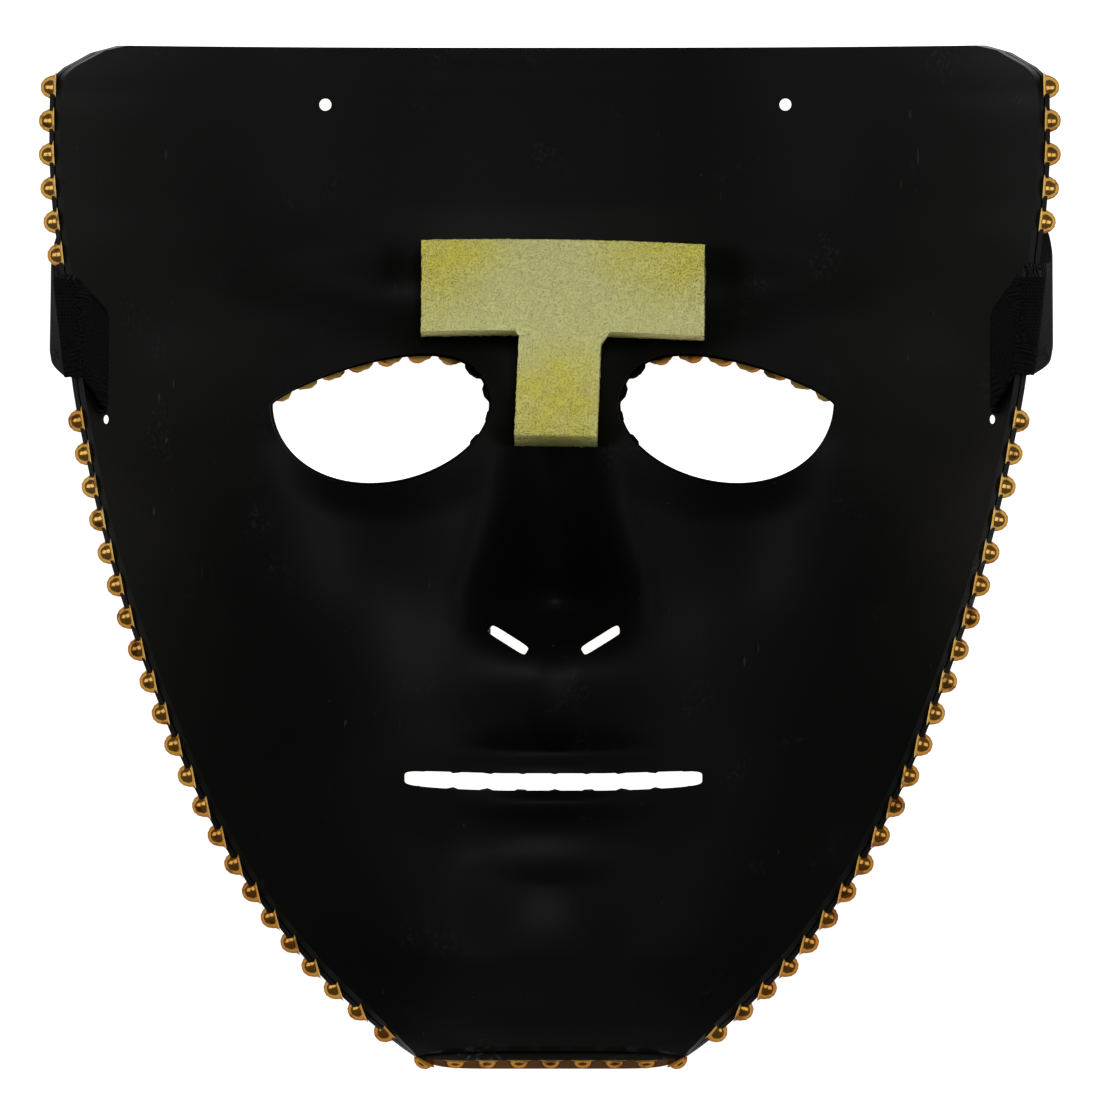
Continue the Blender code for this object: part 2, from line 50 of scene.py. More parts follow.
# Sizes of the model, as its source gives them
HALF_WIDTH = 93.1 * MM
FACE_HEIGHT = 188.3 * MM
DEPTH = 71.0 * MM
WALL_CURVE = 2.6
COVER_THICKNESS = 1.0 * MM
SHELL_THICKNESS = 1.2 * MM
CLEARANCE = 0.3 * MM
CLOTH_CLEARANCE = 0.6 * MM
STUD_RADIUS = 2.75 * MM
STUD_HEIGHT = 2.8 * MM
STUD_PITCH = 6.3 * MM
EYE_HALF_LENGTH = 20.0 * MM
EYE_UPPER = 9.1 * MM
EYE_LOWER = 14.6 * MM
EYE_UPPER_LEAN = -8.0 * MM
EYE_LOWER_LEAN = 2.0 * MM
EYE_UPPER_LID = (EYE_UPPER_LEAN, EYE_UPPER, 1.6)
EYE_LOWER_LID = (EYE_LOWER_LEAN, EYE_LOWER, 1.05)
MOUTH_HALF_LENGTH = 27.8 * MM
MOUTH_HALF_HEIGHT = 1.6 * MM
MOUTH_SMILE = 0.9 * MM
NOSTRIL_HALF_LENGTH = 4.1 * MM
NOSTRIL_HALF_HEIGHT = 0.9 * MM
NOSTRIL_TURN = math.radians(32)
HOLE_RADIUS = 1.15 * MM
STRAP_WIDTH = 18.5 * MM
STRAP_THICKNESS = 1.1 * MM
SLOT_FROM_RIM = 3.8 * MM
SLOT_TOP_GAP = 0.4 * MM
SLOT_LOW_GAP = 2.2 * MM
SLOT_WIDTH = STRAP_THICKNESS + 2 * CLOTH_CLEARANCE
BEND = 0.9 * MM
TAB_LENGTH = 6.0 * MM
LEFT_LIFTS = (6.6 * MM, 7.0 * MM)
RIGHT_LIFTS = (7.0 * MM, 9.0 * MM)
PAD_WIDTH = 53.0 * MM
PAD_BAR = 18.1 * MM
PAD_HEIGHT = 38.7 * MM
PAD_STEM = 16.4 * MM
PAD_THICKNESS = 7.0 * MM
PAD_OFF_CENTRE = 1.5 * MM
FOREHEAD_FRONT = STUD_HEIGHT + STRAP_THICKNESS + CLEARANCE
SHELL_FRONT = COVER_THICKNESS + CLEARANCE
SHELL_INSIDE = SHELL_FRONT + SHELL_THICKNESS
BOTTOM_Y = -FACE_HEIGHT / 2
EYE_AT = (0.347, 0.645)
MOUTH_AT = (0.0, 0.2702)
NOSTRIL_AT = (0.093, 0.4115)
HOLE_AT = (0.462, 0.943)
STRAP_UP = 0.686
PAD_TOP_UP = 0.809
FOREHEAD_UP = 0.858

# Cross-sections: height share, half-width share, and the depth shares of the crown line and of the rim
SECTIONS = (
    (0.000, 0.272, 0.666, 0.690),
    (0.010, 0.301, 0.632, 0.697),
    (0.045, 0.385, 0.500, 0.735),
    (0.095, 0.485, 0.385, 0.810),
    (0.154, 0.578, 0.350, 0.885),
    (0.214, 0.653, 0.318, 0.940),
    (0.273, 0.713, 0.282, 0.975),
    (0.332, 0.763, 0.256, 0.995),
    (0.393, 0.810, 0.242, 1.000),
    (0.452, 0.851, 0.232, 0.990),
    (0.531, 0.896, 0.228, 0.970),
    (0.601, 0.927, 0.212, 0.950),
    (0.660, 0.950, 0.160, 0.925),
    (0.730, 0.967, 0.068, 0.890),
    (0.800, 0.983, 0.014, 0.860),
    (0.850, 0.995, 0.000, 0.840),
    (0.900, 1.000, 0.000, 0.825),
    (0.949, 0.999, 0.001, 0.812),
    (0.968, 0.991, 0.002, 0.795),
    (0.978, 0.972, 0.002, 0.756),
    (0.988, 0.936, 0.003, 0.685),
    (0.996, 0.908, 0.003, 0.633),
    (1.000, 0.870, 0.003, 0.567),
)

# The nose: height share, half-width as a share of the half-width of the face, and share of its full drop
NOSE = (
    (0.345, 0.16, 0.00),
    (0.375, 0.17, 0.02),
    (0.392, 0.19, 0.15),
    (0.410, 0.21, 0.50),
    (0.430, 0.22, 0.90),
    (0.450, 0.22, 1.00),
    (0.500, 0.19, 0.78),
    (0.560, 0.16, 0.50),
    (0.620, 0.14, 0.24),
    (0.665, 0.13, 0.08),
    (0.720, 0.12, 0.00),
)

# Dents and swellings: places across and up as shares, then half-length, half-height and rise as shares
# of the half-width
RELIEF = (
    ("socket", 0.350, 0.625, 0.300, 0.200, 0.055),
    ("brow", 0.400, 0.748, 0.300, 0.115, -0.032),
    ("cheek", 0.500, 0.450, 0.320, 0.340, -0.048),
    ("temple", 0.720, 0.640, 0.200, 0.260, 0.020),
    ("muzzle", 0.000, 0.275, 0.380, 0.230, -0.045),
    ("upper lip", 0.000, 0.300, 0.270, 0.060, -0.024),
    ("lower lip", 0.000, 0.245, 0.240, 0.060, -0.028),
    ("chin crease", 0.000, 0.200, 0.250, 0.070, 0.014),
    ("chin", 0.000, 0.148, 0.210, 0.170, -0.034),
    ("groove under the nose", 0.000, 0.345, 0.060, 0.090, 0.012),
)

# The hanging part of the elastic: share of the half-width, share of the way up to the forehead line, and
# share of the rim's height
STRAP_FALL = (
    (0.996, 0.30, 0.82),
    (0.990, 0.46, 0.58),
    (0.950, 0.64, 0.32),
    (0.870, 0.82, 0.11),
    (0.740, 0.94, 0.02),
    (0.620, 1.00, 0.00),
)

# How far the edge studs' feet stand in from the rim, from the eyes and from the mouth, and how much less
# they do above the middle of an eye
RIM_INSET = 1.5 * MM
EYE_INSET = 2.4 * MM
EYE_INSET_EASE = 0.5
EYE_LOWER_INSET = 3.4 * MM
MOUTH_INSET = 2.6 * MM

# Where the upper row of an eye's studs starts and how far it runs, and half the width between the eyes
# in which studs are black at the back
EYE_STUDS_FROM = math.radians(18)
EYE_STUDS_SPAN = math.radians(190)
EYE_CORNER = 16.5 * MM

# How much wider the black shell's eye openings are than the cover's
SHELL_EYE_GROW = 0.5 * MM

# The cover's chin edge: how far its lip and the black strip behind it are turned out, how far the lip
# drops, the band above it that isn't plain black, and the share of the height that counts as chin
CHIN_FLANGE = 2.3 * MM
CHIN_STRIP = 0.7 * MM
CHIN_DROP = 1.6 * MM
CHIN_BAND = 2.6 * MM
CHIN_REACH = 0.03

# The chin's studs: lifted above the band, drawn to the middle and lower than the others
CHIN_STUD_LIFT = 0.3 * MM
CHIN_STUD_PULL = 0.94
CHIN_STUD_SIZE = (0.82, 0.82, 0.54, 1.0)

# Which way the studs lean at the rim and at the chin, how much, and where the chin's row turns outward
RIM_LEAN = 0.75
CHIN_LEAN = (-3.0, 0.6)
LEAN_SHARE = 0.7
CHIN_CORNER_FROM = 0.75
CHIN_CORNER_LEAN = 8

# From row to row of the field of studs, the least from stud to stud, and how finely lines and slopes are
# measured
ROW_PITCH = STUD_PITCH * 0.88
NEAREST_STUDS = STUD_PITCH * 0.93
LINE_STEPS = 60
SLOPE_STEP = 0.2 * MM

# Half of a stud's section, from its skirt to its crown: shares of its radius and of its height
STUD_SECTION = (
    (1.10, -0.05),
    (0.96, 0.02),
    (0.83, 0.14),
    (0.77, 0.38),
    (0.60, 0.72),
    (0.30, 0.95),
)
STUD_SIDES = 12

# Places of the studs' materials; the gold at a stud's foot is a brighter, duller copy of the gold, painted
# light
GOLD_IN_FRONT = 0
FOOT_GOLD_PAINTED_LIT = 1
BLACK_AT_BACK = 2

# Share of a stud's height up to which black plastic runs over it
BLACK_UP_TO = 0.6

# Below this share of agreement with the front's direction, a face is an edge
FACING = 0.6

# Where the chink at the low end of a slot lies, in from the slot on the cover's front, and its size
CHINK_IN = 2.9 * MM
CHINK_HEIGHT = 1.7 * MM
CHINK_HALF_WIDTH = 0.5 * MM

# How the foam differs from its square-cut solid: a slimmer, leaning stem, a small turn, a bowed top and
# lower edges that are drawn in at the open side
STEM_SLIMMER = 1.0 * MM
STEM_SLIMMER_FROM = 1.5 * MM
STEM_LEAN = 0.7 * MM
PAD_TURN = 0.016
PAD_BOW = 0.5 * MM
STEM_DRAWN_IN = 2.0 * MM
BAR_DRAWN_IN = 1.0 * MM
DRAWN_IN_OVER = 6.0 * MM

# The foam's mesh: size of its squares, layers through it, how far it sinks into its glue, and its torn skin
PAD_CELL = 0.55 * MM
PAD_LAYERS = 14
PAD_SINK = 0.1 * MM
PAD_GRIT = 0.22 * MM
PAD_GRIT_SIZES = (0.75 * MM, 0.35 * MM)
PAD_GRIT_FINE_SHARE = 0.6
PAD_GRIT_LEVEL = 0.35

# Where the foam is still yellow, as places on the mask
YELLOW_SPOTS = ((-21 * MM, 56 * MM), (22 * MM, 57 * MM), (1 * MM, 31 * MM))

# Fineness of the moulded skins, and how much closer their rows and columns stand at the edges
SHELL_COLUMNS = 150
SHELL_ROWS = 170
COVER_COLUMNS = 96
COVER_ROWS = 120
ROWS_CROWD = 0.12
COLUMNS_CROWD = 0.15

# The elastic's mesh: length of a row, columns across, how far its loops stand out, and their thickness
WEAVE_ROW = 0.65 * MM
STRAP_COLUMNS = 14
LOOP_OUT = 0.16 * MM
LOOP_THIN = 0.55
HANG_STEPS = 8

# A length that no two points of these meshes stand within
TINY = 1e-6

# The photograph's frame: millimetres across the whole picture and its middle on the object
PICTURE_WIDTH = 205.4 * MM
PICTURE_MIDDLE = Vector((-0.75 * MM, 0.5 * MM, 25.0 * MM))
CAMERA_FROM = Vector((0.022, 0.0, 1.0))
CAMERA_DISTANCE = 9.0
FILM_WIDTH = 36.0
CLIP_FROM, CLIP_TO = 1.0, 60.0


def blend(table, share, column):
    """One column of a table at any share of its first column, smooth and without overshoot."""
    share = min(max(share, table[0][0]), table[-1][0])
    i = next(k for k in range(len(table) - 1) if share <= table[k + 1][0])

    def pitch(k):
        return (table[k + 1][column] - table[k][column]) / (table[k + 1][0] - table[k][0])

    def slope(k):
        if k in (0, len(table) - 1):
            return pitch(min(k, len(table) - 2))
        before, after = pitch(k - 1), pitch(k)
        return 0.0 if before * after <= 0 else 2 * before * after / (before + after)

    length = table[i + 1][0] - table[i][0]
    t = (share - table[i][0]) / length
    start, end = table[i][column], table[i + 1][column]
    return (
        start * (2 * t**3 - 3 * t**2 + 1)
        + end * (3 * t**2 - 2 * t**3)
        + length * slope(i) * (t**3 - 2 * t**2 + t)
        + length * slope(i + 1) * (t**3 - t**2)
    )


def bell(distance):
    return (1 - distance**2) ** 2 if distance < 1 else 0.0


def height_share(y):
    return (y - BOTTOM_Y) / FACE_HEIGHT


def up(share):
    return BOTTOM_Y + FACE_HEIGHT * share


def half_width(y):
    return HALF_WIDTH * blend(SECTIONS, height_share(y), 1)


def dents(x, y):
    total = 0.0
    for _, across, high, length, height, rise in RELIEF:
        dx = (abs(x) - across * HALF_WIDTH) / (length * HALF_WIDTH)
        dy = (y - up(high)) / (height * HALF_WIDTH)
        total += rise * HALF_WIDTH * bell(math.hypot(dx, dy))
    return total


def plain_front(x, y):
    share = height_share(y)
    crown = FOREHEAD_FRONT + DEPTH * blend(SECTIONS, share, 2)
    rim = FOREHEAD_FRONT + DEPTH * blend(SECTIONS, share, 3)
    return crown + (rim - crown) * abs(x / half_width(y)) ** WALL_CURVE + dents(x, y)


def nose_tip():
    return up(max(NOSE, key=lambda row: row[2])[0])


NOSE_DROP = plain_front(0.0, nose_tip()) - STUD_HEIGHT


def front(x, y):
    """Height of the cover's front, under the studs."""
    share = height_share(y)
    nose = NOSE_DROP * blend(NOSE, share, 2) * bell(abs(x) / (HALF_WIDTH * blend(NOSE, share, 1)))
    return plain_front(x, y) - nose


def layer(x, y, inward=0.0):
    """A point that lies this far behind the cover's front, and the direction into the hollow there."""
    step = SLOPE_STEP
    low, high = max(y - step, BOTTOM_Y), min(y + step, BOTTOM_Y + FACE_HEIGHT)
    slope_x = (front(x + step, y) - front(x - step, y)) / (2 * step)
    slope_y = (front(x, high) - front(x, low)) / (high - low)
    if y >= BOTTOM_Y + FACE_HEIGHT - step:
        slope_y = 0.0
    normal = Vector((-slope_x, -slope_y, 1.0)).normalized()
    return Vector((x, y, front(x, y))) + normal * inward, normal


def frame_shift():
    """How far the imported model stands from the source's own axes."""
    low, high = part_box("foam_pad")
    shell_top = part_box("mask_shell")[1][1]
    return Vector(((low[0] + high[0]) / 2 - PAD_OFF_CENTRE, shell_top - FACE_HEIGHT / 2, 0.0))


SHIFT = frame_shift()


def finished(name, bm):
    """The mesh of this name from a bmesh, which is freed."""
    mesh = bpy.data.meshes.new(name)
    bm.to_mesh(mesh)
    bm.free()
    return mesh


def shown(name, data):
    """An object of this name with this data, in the scene."""
    thing = bpy.data.objects.new(name, data)
    bpy.context.scene.collection.objects.link(thing)
    return thing


def piece(name, bm, materials, angle=35, replaces=None):
    """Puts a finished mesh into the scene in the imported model's place and lets it ride on the mask."""
    bmesh.ops.translate(bm, verts=bm.verts, vec=SHIFT)
    mesh = finished(name, bm)
    mesh.shade_smooth()
    mesh.set_sharp_from_angle(angle=math.radians(angle))
    for material in materials:
        mesh.materials.append(material)
    thing = shown(name, mesh)
    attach(thing, "root")
    if replaces:
        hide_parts(replaces)
    return thing


def slab(columns, rows, place):
    """A closed slab on a grid: place gives a grid point of the far and of the near skin."""
    bm = bmesh.new()
    bmesh.ops.create_grid(bm, x_segments=columns, y_segments=rows, size=1.0)

    def grid_line(v):
        return round((v.co.x + 1) / 2 * columns), round((v.co.y + 1) / 2 * rows)

    far = {v: grid_line(v) for v in bm.verts}
    grown = bmesh.ops.extrude_face_region(bm, geom=list(bm.faces), use_keep_orig=True)["geom"]
    near = {item: grid_line(item) for item in grown if isinstance(item, bmesh.types.BMVert)}
    for skin, places in enumerate((far, near)):
        for v, (i, j) in places.items():
            v.co = place(i, j, skin)
    turn_outward(bm)
    return bm


def turn_outward(bm):
    bmesh.ops.recalc_face_normals(bm, faces=bm.faces)
    if bm.calc_volume(signed=True) < 0:
        bmesh.ops.reverse_faces(bm, faces=bm.faces)


def row_share(j, rows):
    """Height share of a grid row; the rows crowd towards the chin and the top edge."""
    t = j / rows
    return t - ROWS_CROWD * math.sin(math.tau * t) / math.tau


def moulded(columns, rows, inward_far, inward_near, turned_out=0.0):
    """A skin of the whole face between two depths behind the cover's front.

    Its chin edge may be turned out: the first row is then the lip and the second the end of the strip.
    """

    def place(i, j, skin):
        y = up(row_share(max(j - 1, 0), rows - 1) if turned_out else row_share(j, rows))
        share = 2 * i / columns - 1
        x = half_width(y) * share * (1 - COLUMNS_CROWD + COLUMNS_CROWD * share**2)
        point = layer(x, y, (inward_far, inward_near)[skin])[0]
        if j < 2 and turned_out:
            from_corner = 1 - share**10
            point.y = BOTTOM_Y - (CHIN_STRIP if j else turned_out) * from_corner
            point.z -= 0.0 if j else CHIN_DROP * from_corner
        return point

    return slab(columns, rows, place)


def eye_edge(side, angle, grow=0.0):
    """Almond outline of an eye opening, round at the nose and pointed at the temple."""
    along, upward = math.cos(angle), math.sin(angle)
    lean, reach, sharpness = EYE_UPPER_LID if upward > 0 else EYE_LOWER_LID
    x = EYE_AT[0] * HALF_WIDTH + (EYE_HALF_LENGTH + grow) * along + lean * upward**2
    y = up(EYE_AT[1]) + math.copysign((reach + grow) * abs(upward) ** sharpness, upward)
    return side * x, y


def slit_edge(angle, half_length, half_height, smile=0.0):
    """Outline of a slit with round ends, which may curve up at its ends."""
    squareness = 0.35
    x = half_length * math.copysign(abs(math.cos(angle)) ** squareness, math.cos(angle))
    y = half_height * math.copysign(abs(math.sin(angle)) ** squareness, math.sin(angle))
    return x, y + smile * (x / half_length) ** 2


def nostril_edge(side, angle):
    x, y = slit_edge(angle, NOSTRIL_HALF_LENGTH, NOSTRIL_HALF_HEIGHT)
    turn = side * NOSTRIL_TURN
    return (
        side * NOSTRIL_AT[0] * HALF_WIDTH + x * math.cos(turn) - y * math.sin(turn),
        up(NOSTRIL_AT[1]) + x * math.sin(turn) + y * math.cos(turn),
    )


def hole_edge(side, angle):
    return (
        side * HOLE_AT[0] * HALF_WIDTH + HOLE_RADIUS * math.cos(angle),
        up(HOLE_AT[1]) + HOLE_RADIUS * math.sin(angle),
    )


def mouth_edge(angle):
    x, y = slit_edge(angle, MOUTH_HALF_LENGTH, MOUTH_HALF_HEIGHT, MOUTH_SMILE)
    return x, up(MOUTH_AT[1]) + y


def punch(bm, sides, outline):
    """An upright prism through the whole depth, whose outline gives x and y at an angle."""
    ring = bmesh.ops.create_circle(bm, cap_ends=True, segments=sides, radius=1.0)["verts"]
    for k, v in enumerate(ring):
        v.co = (*outline(math.tau * (k + 0.5) / sides), 0.0)
    grown = bmesh.ops.extrude_face_region(bm, geom=[ring[0].link_faces[0]], use_keep_orig=True)["geom"]
    for item in grown:
        if isinstance(item, bmesh.types.BMVert):
            item.co.z += DEPTH + FOREHEAD_FRONT + SHELL_INSIDE


def slot_x():
    return half_width(up(STRAP_UP)) - SLOT_FROM_RIM


def wall(side, y):
    """Slot point, length and directions of the wall's margin from the slot to the rim at this height."""
    rim = Vector((half_width(y), y, front(half_width(y), y)))
    slot = Vector((slot_x(), y, front(slot_x(), y)))
    along = (rim - slot).normalized()
    inward = Vector((-along.z, 0.0, along.x))
    flip = Matrix.Diagonal((side, 1.0, 1.0))
    return flip @ slot, (rim - slot).length, flip @ along, flip @ inward


def slot_punch(bm, side):
    """The cut for a temple slot, as high as the elastic is wide."""
    steps = 8
    reach = 3 * SHELL_INSIDE
    low = up(STRAP_UP) - STRAP_WIDTH / 2 - SLOT_TOP_GAP / 2
    high = up(STRAP_UP) + STRAP_WIDTH / 2 + SLOT_TOP_GAP

    def place(i, j, skin):
        y = low + (high - low) * j / steps
        slot, _, along, inward = wall(side, y)
        return slot + along * SLOT_WIDTH * (i - 0.5) + inward * (reach if skin else SHELL_INSIDE - reach)

    mesh = finished("slot", slab(1, steps, place))
    bm.from_mesh(mesh)
    bpy.data.meshes.remove(mesh)


def chink_edge(side, angle):
    """The chink that stays open below the elastic at the low end of its slot."""
    x = slot_x() - CHINK_IN + CHINK_HALF_WIDTH * math.cos(angle)
    y = up(STRAP_UP) - STRAP_WIDTH / 2 - SLOT_LOW_GAP + CHINK_HEIGHT / 2 * (1 + math.sin(angle))
    return side * x, y


def cut_openings(bm, grow=0.0):
    """Cuts the eyes, nostrils, mouth, forehead holes and temple slots out of a moulded skin."""
    cutter = bmesh.new()
    for side in (-1, 1):
        punch(cutter, 120, lambda angle, side=side: eye_edge(side, angle, grow))
        punch(cutter, 12, lambda angle, side=side: chink_edge(side, angle))
        punch(cutter, 28, lambda angle, side=side: nostril_edge(side, angle))
        punch(cutter, 20, lambda angle, side=side: hole_edge(side, angle))
        slot_punch(cutter, side)
    punch(cutter, 72, mouth_edge)
    turn_outward(cutter)
    solids = [shown(name, finished(name, part)) for name, part in (("skin", bm), ("openings", cutter))]
    modifier = solids[0].modifiers.new("cut", "BOOLEAN")
    modifier.operation = "DIFFERENCE"
    modifier.object = solids[1]
    cut = bmesh.new()
    cut.from_object(solids[0], bpy.context.evaluated_depsgraph_get())
    for thing in solids:
        bpy.data.objects.remove(thing, do_unlink=True)
    return cut


def feed(tree, socket, value):
    """Gives an input a value or another node's output."""
    if isinstance(value, bpy.types.NodeSocket):
        tree.links.new(value, socket)
    else:
        socket.default_value = value


def add(tree, kind, settings=None, **inputs):
    """A node with its settings; an input is given a value or another node's output."""
    made = tree.nodes.new(kind)
    for key, value in (settings or {}).items():
        setattr(made, key, value)
    for key, value in inputs.items():
        feed(tree, made.inputs[key], value)
    return made


def calc(tree, operation, *values, clamp=False):
    """The output of a math node on these values."""
    made = tree.nodes.new("ShaderNodeMath")
    made.operation = operation
    made.use_clamp = clamp
    for socket, value in zip(made.inputs, values):
        feed(tree, socket, value)
    return made.outputs["Value"]


def span(tree, value, low, high, new_low=0.0, new_high=1.0):
    """Value carried from one range into another, smoothly and no further."""
    made = add(tree, "ShaderNodeMapRange", {"interpolation_type": "SMOOTHSTEP"}, Value=value)
    for key, number in (("From Min", low), ("From Max", high), ("To Min", new_low), ("To Max", new_high)):
        made.inputs[key].default_value = number
    return made.outputs["Result"]


def mixed(tree, share, first, second):
    """The output of a colour mix."""
    made = tree.nodes.new("ShaderNodeMix")
    made.data_type = "RGBA"
    for name, value in (("Factor_Float", share), ("A_Color", first), ("B_Color", second)):
        feed(tree, next(item for item in made.inputs if item.identifier == name), value)
    return next(item for item in made.outputs if item.identifier == "Result_Color")


def stained(tree, base, mask, share, colour):
    """The base with this share of a colour where the mask is full."""
    return mixed(tree, calc(tree, "MULTIPLY", mask, share), base, (*colour, 1.0))


def speckle(tree, place, size, detail=2.0, roughness=0.5):
    """A noise with features of about this size."""
    look = {"Scale": 0.6 / size, "Detail": detail, "Roughness": roughness}
    return add(tree, "ShaderNodeTexNoise", Vector=place, **look).outputs["Fac"]


def shared(name, outputs, build):
    """A shared effect: a node group that takes a place and puts out these values."""
    made = bpy.data.node_groups.new(name, "ShaderNodeTree")
    made.interface.new_socket(name="Place", in_out="INPUT", socket_type="NodeSocketVector")
    for title in outputs:
        made.interface.new_socket(name=title, in_out="OUTPUT", socket_type="NodeSocketFloat")
    given = made.nodes.new("NodeGroupInput").outputs["Place"]
    taken = made.nodes.new("NodeGroupOutput")
    for title, value in zip(outputs, build(made, given)):
        made.links.new(value, taken.inputs[title])
    return made


def use(tree, effect, place):
    return add(tree, "ShaderNodeGroup", {"node_tree": effect}, Place=place).outputs


def wear(tree, place):
    """Faint scuffs, pale scratches, dust specks and the slow unevenness of a moulded skin."""
    rubbed = span(tree, speckle(tree, place, 9 * MM, 3.0), 0.60, 0.74)
    grit = span(tree, speckle(tree, place, 0.5 * MM, 1.0), 0.52, 0.66)
    scuff = calc(tree, "MULTIPLY", rubbed, grit)
    stretched = add(tree, "ShaderNodeMapping", Vector=place)
    stretched.inputs["Rotation"].default_value = (0.0, 0.0, 0.6)
    stretched.inputs["Scale"].default_value = (1.0, 0.14, 0.3)
    line = span(tree, speckle(tree, stretched.outputs["Vector"], 0.5 * MM, 1.0), 0.72, 0.78)
    scratch = calc(tree, "MULTIPLY", line, span(tree, speckle(tree, place, 12 * MM, 1.0), 0.60, 0.68))
    cells = add(tree, "ShaderNodeTexVoronoi", Vector=place, Scale=1 / (5.5 * MM), Randomness=1.0)
    dust = span(tree, cells.outputs["Distance"], 0.028, 0.014)
    grain = speckle(tree, place, 0.35 * MM, 2.0)
    sweep = speckle(tree, place, 38 * MM, 1.0)
    return scuff, scratch, dust, grain, sweep


def weave(tree, place):
    """Herringbone threads and looped edges; the place is the distance across and along the elastic."""
    parts = add(tree, "ShaderNodeSeparateXYZ", Vector=place)
    across, along = parts.outputs["X"], parts.outputs["Y"]
    zigzag = calc(tree, "PINGPONG", across, 1.3 * MM)
    phase = calc(tree, "DIVIDE", calc(tree, "ADD", along, calc(tree, "MULTIPLY", zigzag, 0.7)), 0.72 * MM)
    ridge = calc(tree, "SINE", calc(tree, "MULTIPLY", phase, math.tau))
    rib = calc(tree, "SINE", calc(tree, "MULTIPLY", across, math.tau / (0.65 * MM)))
    height = calc(tree, "ADD", calc(tree, "MULTIPLY", ridge, 0.3), calc(tree, "MULTIPLY", rib, 0.2))
    height = calc(tree, "ADD", height, 0.5)
    middle = calc(tree, "ABSOLUTE", calc(tree, "SUBTRACT", across, STRAP_WIDTH / 2))
    border = span(tree, middle, STRAP_WIDTH / 2 - 0.5 * MM, STRAP_WIDTH / 2 - 0.3 * MM)
    bead = calc(tree, "SINE", calc(tree, "MULTIPLY", along, math.tau / (0.8 * MM)))
    loops = calc(tree, "MULTIPLY", border, span(tree, bead, 0.2, 0.8))
    return height, loops


def open_cells(tree, place):
    """The torn cells of cut foam: small pits between thin pale struts."""
    large = add(tree, "ShaderNodeTexVoronoi", {"feature": "F1"}, Vector=place, Scale=1 / (0.60 * MM))
    small = add(tree, "ShaderNodeTexVoronoi", {"feature": "F1"}, Vector=place, Scale=1 / (0.34 * MM))
    pits = calc(tree, "MULTIPLY", span(tree, large.outputs["Distance"], 0.5, 0.0), 0.5)
    fine_pits = calc(tree, "MULTIPLY", span(tree, small.outputs["Distance"], 0.6, 0.0), 0.5)
    pores = calc(tree, "ADD", pits, fine_pits)
    return pores, speckle(tree, place, 16 * MM, 2.0), speckle(tree, place, 2.2 * MM, 2.0)


WEAR = shared("wear on a moulded skin", ("Scuff", "Scratch", "Dust", "Grain", "Sweep"), wear)
WEAVE = shared("elastic weave", ("Height", "Loops"), weave)
CELLS = shared("open foam cells", ("Pores", "Patch", "Mottle"), open_cells)


def material(name, colour, roughness, metallic=0.0):
    """A material with its node tree and its shader."""
    made = bpy.data.materials.new(name)
    made.use_nodes = True
    tree = made.node_tree
    shader = tree.nodes["Principled BSDF"]
    shader.inputs["Base Color"].default_value = (*colour, 1.0)
    shader.inputs["Roughness"].default_value = roughness
    shader.inputs["Metallic"].default_value = metallic
    return made, tree, shader


def own_place(tree):
    return add(tree, "ShaderNodeTexCoord").outputs["Object"]


def bump(tree, shader, height, distance, strength=1.0):
    made = add(tree, "ShaderNodeBump", Height=height, Distance=distance, Strength=strength)
    tree.links.new(made.outputs["Normal"], shader.inputs["Normal"])


def black_plastic(name, tone, roughness, marks=1.0):
    """Black moulded plastic, a little scuffed and dusty; marks makes the scuffs stronger."""
    made, tree, shader = material(name, (tone, tone, tone * 0.95), roughness)
    worn = use(tree, WEAR, own_place(tree))
    darker = (tone * 0.7, tone * 0.7, tone * 0.66, 1.0)
    paler = (tone * 1.3, tone * 1.3, tone * 1.2, 1.0)
    base = mixed(tree, worn["Sweep"], darker, paler)
    base = stained(tree, base, worn["Scuff"], 0.02 * marks, (0.45, 0.46, 0.47))
    base = stained(tree, base, worn["Scratch"], 0.06, (0.5, 0.5, 0.5))
    base = stained(tree, base, worn["Dust"], 0.10, (0.6, 0.6, 0.58))
    tree.links.new(base, shader.inputs["Base Color"])
    rough = span(tree, worn["Sweep"], 0.3, 0.7, roughness - 0.05, roughness + 0.06)
    tree.links.new(rough, shader.inputs["Roughness"])
    shader.inputs["Specular IOR Level"].default_value = 0.115
    bump(tree, shader, worn["Grain"], 0.02 * MM, 0.5)
    return made


def gold_plating(name, pale, deep, metallic, roughness):
    """Gold plating from pale to amber, with brown stains."""
    made, tree, shader = material(name, pale, roughness, metallic=metallic)
    place = own_place(tree)
    tone = span(tree, speckle(tree, place, 22 * MM, 2.0), 0.38, 0.62)
    height = add(tree, "ShaderNodeSeparateXYZ", Vector=place).outputs["Y"]
    low = span(tree, height, -70 * MM, -20 * MM, 1.0, 0.0)
    by_patch, by_height = calc(tree, "MULTIPLY", tone, 0.7), calc(tree, "MULTIPLY", low, 0.5)
    share = calc(tree, "ADD", by_patch, by_height, clamp=True)
    base = mixed(tree, share, (*pale, 1.0), (*deep, 1.0))
    stain = span(tree, speckle(tree, place, 1.6 * MM, 2.0), 0.56, 0.66)
    base = stained(tree, base, stain, 0.75, (0.12, 0.04, 0.01))
    tree.links.new(base, shader.inputs["Base Color"])
    worn = use(tree, WEAR, place)
    rough = span(tree, worn["Scuff"], 0.0, 1.0, roughness, roughness + 0.2)
    tree.links.new(rough, shader.inputs["Roughness"])
    shader.inputs["Specular Tint"].default_value = (0.35, 0.22, 0.10, 1.0)
    return made


